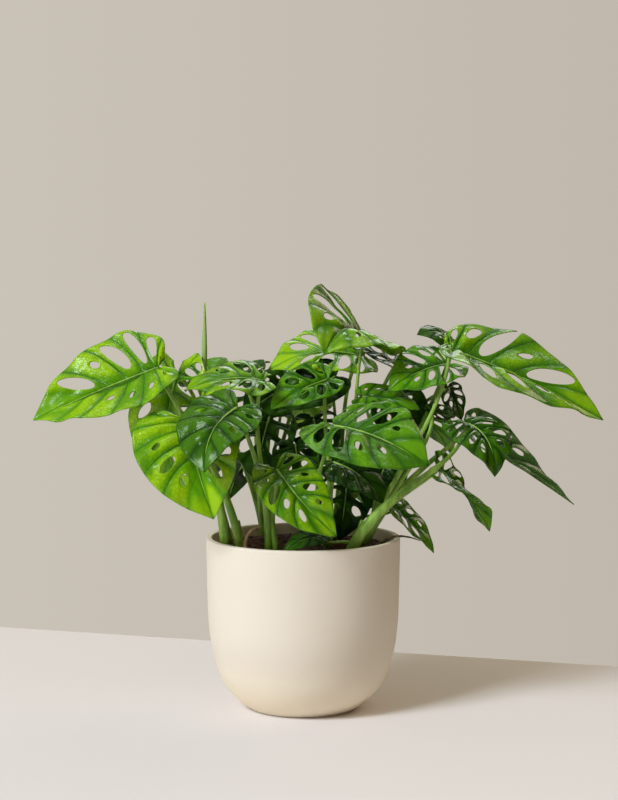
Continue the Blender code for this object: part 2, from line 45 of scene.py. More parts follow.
# Shader writing
class Wire:  # one output socket, so that a shader's sums read as plain expressions
    def __init__(self, shade, socket):
        self.shade = shade
        self.socket = socket

    def sum(self, operation, first, second=None):
        values = {0: first} if second is None else {0: first, 1: second}
        return self.shade.node("ShaderNodeMath", {"operation": operation}, values)

    def __add__(self, other):
        return self.sum("ADD", self, other)

    def __radd__(self, other):
        return self.sum("ADD", other, self)

    def __sub__(self, other):
        return self.sum("SUBTRACT", self, other)

    def __rsub__(self, other):
        return self.sum("SUBTRACT", other, self)

    def __mul__(self, other):
        return self.sum("MULTIPLY", self, other)

    def __rmul__(self, other):
        return self.sum("MULTIPLY", other, self)

    def __abs__(self):
        return self.sum("ABSOLUTE", self)

    def fraction(self):
        return self.sum("FRACT", self)

    def output(self, name):
        return Wire(self.shade, self.socket.node.outputs[name])


class Shade:  # the nodes of one material or of the world
    def __init__(self, owner):
        owner.use_nodes = True
        self.owner = owner
        self.tree = owner.node_tree

    def plug(self, socket, value):
        if isinstance(value, Wire):
            self.tree.links.new(value.socket, socket)
        elif socket.type == "RGBA":
            socket.default_value = (*value, 1)
        else:
            socket.default_value = value

    def node(self, kind, settings=None, values=None, output=0):
        made = self.tree.nodes.new(kind)
        for key, value in (settings or {}).items():
            setattr(made, key, value)
        for key, value in (values or {}).items():
            self.plug(made.inputs[key], value)
        return Wire(self, made.outputs[output])

    def blend(self, factor, first, second):
        values = {0: factor, 6: first, 7: second}
        return self.node("ShaderNodeMix", {"data_type": "RGBA"}, values, 2)

    def place(self):  # the object's coordinates as a wire on X, whose node has Y and Z too
        place = self.node("ShaderNodeTexCoord", output="Object")
        return self.node("ShaderNodeSeparateXYZ", {}, {0: place}, "X")

    def grain(self, scale, detail=2, stretch=(1, 1, 1), kind="ShaderNodeTexNoise", settings=None):
        place = self.node("ShaderNodeTexCoord", output="Object")
        place = self.node("ShaderNodeMapping", {}, {"Vector": place, "Scale": stretch})
        return self.node(kind, settings, {"Vector": place, "Scale": scale, "Detail": detail})

    def step(self, value, low, high):  # 0 under low, 1 over high, smooth between
        values = {"Value": value, "From Min": low, "From Max": high}
        return self.node("ShaderNodeMapRange", {"interpolation_type": "SMOOTHSTEP"}, values)

    def ridge(self, value, width):  # 1 where value is 0, falling to 0 at width
        return 1 - self.step(abs(value), 0.0, width)

    def finish(self, colour, roughness=None, height=None, depth=0.001, strength=1.0):
        inputs = self.tree.nodes["Principled BSDF"].inputs
        self.plug(inputs["Base Color"], colour)
        if roughness is not None:
            self.plug(inputs["Roughness"], roughness)
        if height is not None:
            values = {"Height": height, "Distance": depth, "Strength": strength}
            self.plug(inputs["Normal"], self.node("ShaderNodeBump", {}, values))
        return self.owner


def paint(name, **fixed):  # a new material with some inputs of its shader set
    shade = Shade(bpy.data.materials.new(name))
    for key, value in fixed.items():
        shade.tree.nodes["Principled BSDF"].inputs[key.replace("_", " ")].default_value = value
    return shade


# Making meshes
weldReach = 1e-6  # points this close, in metres, become one


def splineValue(knots, t):  # a smooth curve through evenly spaced knots
    last = len(knots) - 1
    i = min(int(t), last - 1)
    f = t - i
    b, c = knots[i], knots[i + 1]
    a = knots[i - 1] if i else 2 * b - c
    d = knots[i + 2] if i + 2 <= last else 2 * c - b
    return 0.5 * (2 * b + (c - a) * f + (2 * a - 5 * b + 4 * c - d) * f**2 + (3 * b - a - 3 * c + d) * f**3)


def smoothLine(points, steps):  # the same curve through points, with steps between each two
    columns = list(zip(*points))
    count = (len(points) - 1) * steps
    return [tuple(splineValue(column, i / steps) for column in columns) for i in range(count + 1)]


def meshFrom(name, bm):
    mesh = bpy.data.meshes.new(name)
    bm.to_mesh(mesh)
    bm.free()
    return mesh


def placed(name, data):  # a new object in the scene
    made = bpy.data.objects.new(name, data)
    bpy.context.scene.collection.objects.link(made)
    return made


def settled(data, name, *modifiers):  # the mesh that an object of this data has after its modifiers
    guide = placed(name + "_guide", data)
    for kind, settings in modifiers:
        made = guide.modifiers.new(kind, kind)
        for key, value in settings.items():
            setattr(made, key, value)
    graph = bpy.context.evaluated_depsgraph_get()
    mesh = bpy.data.meshes.new_from_object(guide.evaluated_get(graph))
    bpy.data.objects.remove(guide)
    mesh.name = name
    return mesh


def addPiece(name, mesh, finishes, slot, *nodes):
    mesh.materials.clear()
    for finish in finishes:
        mesh.materials.append(finish)
    mesh.shade_smooth()
    piece = placed(name, mesh)
    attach(piece, "root")
    if nodes:
        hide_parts(*nodes)


def welded(bm):
    bmesh.ops.remove_doubles(bm, verts=bm.verts[:], dist=weldReach)
    bmesh.ops.recalc_face_normals(bm, faces=bm.faces[:])
    return bm


def spun(profile, steps):  # a closed shell turned round Z from (radius, height) in mm
    bm = bmesh.new()
    line = [bm.verts.new((radius * mm, 0, height * mm)) for radius, height in profile]
    edges = [bm.edges.new(pair) for pair in zip(line, line[1:])]
    bmesh.ops.spin(
        bm, geom=line + edges, cent=(0, 0, 0), axis=(0, 0, 1), angle=2 * math.pi, steps=steps,
        use_merge=True)
    return welded(bm)


def tubes(name, paths, roundness=4):  # closed tubes in one mesh; each path is (points, radii) in mm
    curve = bpy.data.curves.new(name, "CURVE")
    curve.dimensions = "3D"
    curve.bevel_depth = mm
    curve.bevel_resolution = roundness
    curve.use_fill_caps = True
    for points, radii in paths:
        line = curve.splines.new("POLY")
        line.points.add(len(points) - 1)
        for spot, place, radius in zip(line.points, points, radii):
            spot.co = (*(Vector(place) * mm), 1)
            spot.radius = radius
    bm = bmesh.new()
    bm.from_mesh(settled(curve, name))
    return meshFrom(name, welded(bm))


def bezier(a, b, c, d, count):
    made = []
    for i in range(count):
        f = i / (count - 1)
        made.append(a * (1 - f) ** 3 + b * 3 * f * (1 - f) ** 2 + c * 3 * f * f * (1 - f) + d * f**3)
    return made


# Camera, floor and light
cameraForm = dict(place=(0.0045, -1.7, 0.3929), down=5.162, lens=99.8)
floorForm = dict(
    backLeft=(-0.28, 0.32), backRight=(0.27, 0.144), reach=4.0, front=4.0,
    colour=(0.81, 0.765, 0.765), dim=0.95, cloudiness=0.3, cloudScale=3, grainScale=900,
    grainDepth=0.0002, grainStrength=0.2)
lightForm = dict(
    keyFrom=(-2.62, -2.62, 2.94), keySize=1.4, keyPower=207, keyColour=(0.85, 0.93, 1.0),
    sparkFrom=(-2.49, -2.49, 2.7), sparkSize=1.3, sparkPower=100, sparkColour=(0.94, 0.98, 1.0),
    rimFrom=(1.3, 1.2, 1.2), rimSize=0.8, rimPower=6.0, rimColour=(1.0, 0.84, 0.62),
    glossFrom=(0.3, 1.8, 1.7), glossSize=1.2, glossPower=17, glossColour=(0.95, 0.98, 1.0),
    stripFrom=(0.1, 0.0, 2.4), stripSize=0.3, stripLong=2.4, stripPower=15,
    stripColour=(0.97, 1.0, 1.0),
    sheens=("spark", "gloss", "strip"), aim=(0.0, 0.0, 0.2), sky=(0.43, 0.375, 0.265),
    horizonLeft=(0.40, 0.36, 0.32), horizonRight=(0.04, 0.01, 0.0), horizonSpan=(-0.9, 0.1), skyFrom=0.8,
    backdropLeft=(0.605, 0.56, 0.49), backdropRight=(0.51, 0.46, 0.395), backdropTurn=3.0)


def buildStage():
    camera = placed("camera", bpy.data.cameras.new("camera"))
    camera.location = cameraForm["place"]
    camera.rotation_euler = (math.radians(90 - cameraForm["down"]), 0, 0)
    camera.data.lens = cameraForm["lens"]
    bpy.context.scene.camera = camera
    bpy.context.scene.view_settings.view_transform = "Standard"

    # the table's far edge runs a little across the view
    left, right = Vector(floorForm["backLeft"]), Vector(floorForm["backRight"])
    edge = (right - left).normalized() * floorForm["reach"]
    bm = bmesh.new()
    ends = [bm.verts.new((*end, 0)) for end in (left - edge, right + edge)]
    back = bm.edges.new(ends)
    made = bmesh.ops.extrude_edge_only(bm, edges=[back])["geom"]
    fresh = [vert for vert in made if isinstance(vert, bmesh.types.BMVert)]
    bmesh.ops.translate(bm, verts=fresh, vec=(0, -floorForm["front"], 0))
    bmesh.ops.recalc_face_normals(bm, faces=bm.faces[:])
    if bm.faces[:][0].normal.z < 0:
        bmesh.ops.reverse_faces(bm, faces=bm.faces[:])
    floor = placed("floor", meshFrom("floor", bm))
    shade = paint("floor_paint", Roughness=0.8, Specular_IOR_Level=0.1)
    pale = floorForm["colour"]
    dim = [part * floorForm["dim"] for part in pale]
    colour = shade.blend(shade.grain(floorForm["cloudScale"], 3) * floorForm["cloudiness"], pale, dim)
    height = shade.grain(floorForm["grainScale"])
    floor.data.materials.append(
        shade.finish(colour, None, height, floorForm["grainDepth"], floorForm["grainStrength"]))

    for name in ("key", "rim", *lightForm["sheens"]):
        lamp = bpy.data.lights.new(name, "AREA")
        lamp.shape = "RECTANGLE"
        lamp.size = lightForm[name + "Size"]
        lamp.size_y = lightForm.get(name + "Long", lamp.size)
        lamp.energy = lightForm[name + "Power"]
        lamp.color = lightForm[name + "Colour"]
        holder = placed(name, lamp)
        holder.visible_diffuse = name not in lightForm["sheens"]  # these only show as gloss
        holder.visible_glossy = name != "key"
        holder.location = lightForm[name + "From"]
        aim = Vector(lightForm["aim"]) - holder.location
        holder.rotation_euler = aim.to_track_quat("-Z", "Y").to_euler()

    # the room: a backdrop to look at, painted lighter on the left as if lit from that side, and a softer
    # light from it
    room = Shade(bpy.data.worlds.new("room"))
    bpy.context.scene.world = room.owner
    toward = room.node("ShaderNodeTexCoord", output="Generated")
    across = room.node("ShaderNodeSeparateXYZ", {}, {0: toward}, "X")
    share = room.step(across, *lightForm["horizonSpan"])
    horizon = room.blend(share, lightForm["horizonLeft"], lightForm["horizonRight"])
    glow = room.blend(room.step(across.output("Z"), 0.0, lightForm["skyFrom"]), horizon, lightForm["sky"])
    share = room.step(across * lightForm["backdropTurn"], -1.0, 1.0)
    wall = room.blend(share, lightForm["backdropLeft"], lightForm["backdropRight"])
    seen = room.node("ShaderNodeLightPath", output="Is Camera Ray")
    room.plug(room.tree.nodes["Background"].inputs["Color"], room.blend(seen, glow, wall))
    print("stage ready")


# Pot
potForm = dict(
    rimRadius=75.0, height=133.5, wall=4.6, rimEdge=1.1,
    wallCurve=((74.7, 112.0), (73.9, 76.0), (72.6, 58.0), (70.6, 46.0)),
    arcRadius=52.7, arcCentre=(16.6, 47.2), arcTop=-12.3, arcPoints=9, lipPoints=5, underLip=2.5,
    arcEnd=1.2, footEdge=((0.9, 0.35), (2.2, 0.0)), floor=9.0, steps=160, smoothSteps=4,
    cream=(0.78, 0.70, 0.595), warm=(0.75, 0.665, 0.545), pale=(0.84, 0.765, 0.665),
    # paintedLight is painted light: a lighter cream laid on the foot and on the inner wall
    paintedLight=(0.93, 0.815, 0.625), paintedLightTop=52.0, insideFrom=100.0, insideFull=104.0,
    lipSpan=(2.6, 1.2), speckShare=0.25, bumpDepth=0.0003, bumpStrength=0.25)


def arcPoints(centre, radius, start, end, count):
    angles = [math.radians(start + (end - start) * i / (count - 1)) for i in range(count)]
    return [(centre[0] + radius * math.cos(a), centre[1] + radius * math.sin(a)) for a in angles]


def potSide(offset, low):  # the wall from just under the rim down to a height, moved in by offset
    radius = potForm["arcRadius"] - offset
    end = -math.degrees(math.asin((potForm["arcCentre"][1] - low) / radius))
    wall = [(r - offset, z) for r, z in potForm["wallCurve"]]
    bottom = arcPoints(potForm["arcCentre"], radius, potForm["arcTop"], end, potForm["arcPoints"])
    top = (potForm["rimRadius"] - offset, potForm["height"] - potForm["underLip"])
    return smoothLine([top, *wall, *bottom], potForm["smoothSteps"])


def buildPot():
    rim, top, edge = potForm["rimRadius"], potForm["height"], potForm["rimEdge"]
    inner = rim - potForm["wall"]
    inside = list(reversed(potSide(potForm["wall"], potForm["floor"])))
    lip = [
        *reversed(arcPoints((inner + edge, top - edge), edge, 90, 180, potForm["lipPoints"])),
        *reversed(arcPoints((rim - edge, top - edge), edge, 0, 90, potForm["lipPoints"])),
    ]
    outside = potSide(0, potForm["arcEnd"])
    foot = [(outside[-1][0] - inward, height) for inward, height in potForm["footEdge"]]
    profile = [(0.0, potForm["floor"]), *inside, *lip, *outside, *foot, (0.0, 0.0)]
    bm = spun(profile, potForm["steps"])

    shade = paint("cream_ceramic", Specular_IOR_Level=0.35)
    cloud = shade.grain(9, 3)
    speck = shade.grain(420, 2)
    wheel = shade.grain(60, 2, (0.06, 0.06, 1.0))  # faint rings left by turning
    colour = shade.blend(shade.step(cloud, 0.35, 0.7), potForm["cream"], potForm["warm"])
    colour = shade.blend(shade.step(speck, 0.6, 0.75) * potForm["speckShare"], colour, potForm["pale"])
    x = shade.place()
    y, z = x.output("Y"), x.output("Z")
    lipInner, lipOuter = [((rim - inward) * mm) ** 2 for inward in potForm["lipSpan"]]
    outer = shade.step(x * x + y * y, lipInner, lipOuter)
    low = 1 - shade.step(z, 0.0, potForm["paintedLightTop"] * mm)
    high = shade.step(z, potForm["insideFrom"] * mm, potForm["insideFull"] * mm)
    colour = shade.blend(low, colour, potForm["paintedLight"])  # painted light: the cream is lighter towards the foot, for light bounced up from the floor
    colour = shade.blend((1 - outer) * high, colour, potForm["paintedLight"])  # and lighter on the inner wall, painted light for what the lamps don't reach there
    rough = 0.56 + cloud * 0.12 + speck * 0.05
    height = speck * 0.5 + wheel * 0.5 + shade.grain(1500, 1) * 0.2
    clay = shade.finish(colour, rough, height, potForm["bumpDepth"], potForm["bumpStrength"])
    addPiece("pot_turned", meshFrom("pot", bm), [clay], "pot_glaze", "pot")
    print("pot ready")


# Soil
soilForm = dict(
    below=9.5, crown=4.5, edge=69.8, depth=7.0, steps=120, rings=42,
    rough=1.3, lumpScale=260, fineScale=700, fineShare=0.6, stillFoot=1.0, stillRim=0.5,
    chips=620, chipSize=(1.2, 4.2), chipWidth=(0.3, 0.8), chipHeight=(0.2, 0.5), chipTurn=6.28,
    chipTilt=0.5, chipLift=0.12, chipJag=0.1, chipMargin=3, chipKinds=(8, 4, 1), darkShare=0.35, seed=7,
    peat=(0.045, 0.020, 0.012), peatDry=(0.16, 0.075, 0.045),
    bark=(0.38, 0.14, 0.065), husk=(0.55, 0.31, 0.17), grit=(0.62, 0.57, 0.48))


def soilHeight(radius):
    share = radius / potForm["rimRadius"]
    return potForm["height"] - soilForm["below"] + soilForm["crown"] * (1 - share**2)


def buildSoil():
    edge, rings = soilForm["edge"], soilForm["rings"]
    top = [(edge * i / rings, soilHeight(edge * i / rings)) for i in range(rings + 1)]
    low = soilHeight(edge) - soilForm["depth"]
    bm = spun([*top, (edge, low), (0.0, low)], soilForm["steps"])
    foot, rim = (low + soilForm["stillFoot"]) * mm, (edge - soilForm["stillRim"]) * mm
    for vert in bm.verts:  # lumps all over the top, but not where it meets the pot
        if vert.co.z > foot and vert.co.xy.length < rim:
            fine = noise.noise(vert.co * soilForm["fineScale"])
            lump = noise.noise(vert.co * soilForm["lumpScale"]) + soilForm["fineShare"] * fine
            vert.co.z += lump * soilForm["rough"] * mm
    draw = random.Random(soilForm["seed"])
    for _ in range(soilForm["chips"]):
        radius = (edge - soilForm["chipMargin"]) * math.sqrt(draw.random())
        angle = draw.uniform(0, 2 * math.pi)
        size = draw.uniform(*soilForm["chipSize"]) * (0.5 + 0.5 * draw.random())
        width = size * draw.uniform(*soilForm["chipWidth"])
        thick = size * draw.uniform(*soilForm["chipHeight"])
        shape = Matrix.Diagonal((size * mm, width * mm, thick * mm, 1))
        turn = Matrix.Rotation(draw.uniform(0, soilForm["chipTurn"]), 4, "Z")
        turn = turn @ Matrix.Rotation(draw.uniform(-soilForm["chipTilt"], soilForm["chipTilt"]), 4, "X")
        height = soilHeight(radius) + size * soilForm["chipLift"]
        place = Vector((radius * math.cos(angle), radius * math.sin(angle), height)) * mm
        chip = bmesh.ops.create_icosphere(
            bm, subdivisions=1, radius=0.5, matrix=Matrix.Translation(place) @ turn @ shape)["verts"]
        jag = soilForm["chipJag"]
        for vert in chip:
            vert.co += Vector([draw.uniform(-jag, jag) * size * mm for _ in range(3)])
        kind = draw.choices((1, 2, 3), soilForm["chipKinds"])[0]
        for face in {face for vert in chip for face in vert.link_faces}:
            face.material_index = kind

    peat = paint("peat", Specular_IOR_Level=0.2)
    lumps = peat.grain(300, 4)
    colour = peat.blend(peat.step(lumps, 0.4, 0.7), soilForm["peat"], soilForm["peatDry"])
    finishes = [peat.finish(colour, 0.9 + lumps * 0.1, lumps, 0.001, 0.9)]
    for name in ("bark", "husk", "grit"):
        bit = paint(name + "_chip", Specular_IOR_Level=0.2)
        fibre = bit.grain(500, 3, (1, 1, 0.3))
        dark = [part * soilForm["darkShare"] for part in soilForm[name]]
        colour = bit.blend(bit.step(fibre, 0.3, 0.7), dark, soilForm[name])
        finishes.append(bit.finish(colour, 0.8 + fibre * 0.15, fibre, 0.0006, 0.8))
    addPiece("soil_mulch", meshFrom("soil", bm), finishes, "potting_soil", "soil")
    print("soil ready")


# Leaves
veinRoot = (0.0, 0.01, 0.04, 0.12, 0.25, 0.40, 0.58, 1.0)  # where each lateral vein leaves the midrib
marginAlong = (-0.06, -0.10, 0.05, 0.25, 0.46, 0.67, 0.85, 1.0)  # and where it ends, along the blade
marginAcross = (0.14, 0.55, 0.91, 1.0, 0.92, 0.70, 0.36, 0.0)  # and across it, on a half width of 1
bladeForm = dict(
    thickness=0.7, solidHalf=0.4, seatGap=0.3, seatSink=0.2, petiole=1.7, fullHalf=40, detail=3,
    veinReach=0.3, veinBow=0.62, taperVein=3.5, waveRate=2.1, waveShift=1.5,
    rimFade=(1.0, 0.5, 0.15), weld=2e-5)
holeForm = dict(
    seeded=(0.45, 0.9), inset=0.15, centre=0.53, across=0.47, waist=0.43, inner=0.29, outer=0.17,
    waistBand=0.05, drift=(0.06, 0.07), ragged=0.05, raggedRate=5,
    tornPast=0.9, lobePast=0.95, lobeWidth=0.6, tear=0.6)
fullForm = dict(round=0.8, patchRate=(0.9, 1.7), patchSeat=7, mean=0.75, ribRise=3.5)
reliefForm = dict(
    quilt=3.6, quiltRest=0.3, quiltFlat=0.8, furrow=0.8, furrowEnd=9, ripple=1.5, rippleRate=1.27,
    rippleShift=2, sway=3.2, swayRate=(0.45, 1.1), pucker=0.7, puckerRate=(2.3, 5), calmTip=1.3)
# under is the underside's paler colour; on young leaves it is partly painted light, lighter as if light
# shone through the thin blade
leafTints = {
    "young": dict(
        deep=(0.034, 0.140, 0.002), light=(0.100, 0.290, 0.003), glow=(0.280, 0.500, 0.004),
        vein=(0.12, 0.30, 0.012), under=(0.20, 0.38, 0.02)),
    "green": dict(
        deep=(0.009, 0.056, 0.001), light=(0.034, 0.150, 0.002), glow=(0.110, 0.300, 0.004),
        vein=(0.08, 0.23, 0.012), under=(0.08, 0.19, 0.02)),
    # dark is a much darker copy of the leaf colours, partly the deep green of older leaves and partly
    # painted shade for leaves that sit in shadow inside the plant
    "dark": dict(
        deep=(0.003, 0.015, 0.001), light=(0.011, 0.046, 0.001), glow=(0.028, 0.098, 0.003),
        vein=(0.02, 0.08, 0.006), under=(0.04, 0.095, 0.015)),
    "mellow": dict(
        deep=(0.016, 0.078, 0.001), light=(0.060, 0.200, 0.002), glow=(0.200, 0.390, 0.003),
        vein=(0.09, 0.24, 0.010), under=(0.13, 0.28, 0.03)),
    "full": dict(
        deep=(0.005, 0.026, 0.001), light=(0.014, 0.072, 0.001), glow=(0.048, 0.155, 0.002),
        vein=(0.028, 0.10, 0.004), under=(0.06, 0.15, 0.015)),
    "dusty": dict(
        deep=(0.022, 0.070, 0.012), light=(0.050, 0.140, 0.025), glow=(0.085, 0.205, 0.040),
        vein=(0.09, 0.20, 0.05), under=(0.10, 0.205, 0.06)),
}
ownTones = dict(
    leaf_right_large="mellow", leaf_top="mellow", leaf_left_top="mellow", leaf_front_low="mellow",
    leaf_left_dark="full", leaf_right_arched="full", leaf_right_long_tip="dusty")
tornHoles = {"leaf_right_large": ((3, -1),)}  # strips whose hole has torn open to the margin
smallHoles = ((0.2, 0.24, 0.2), (0.24, 0.2, 0))
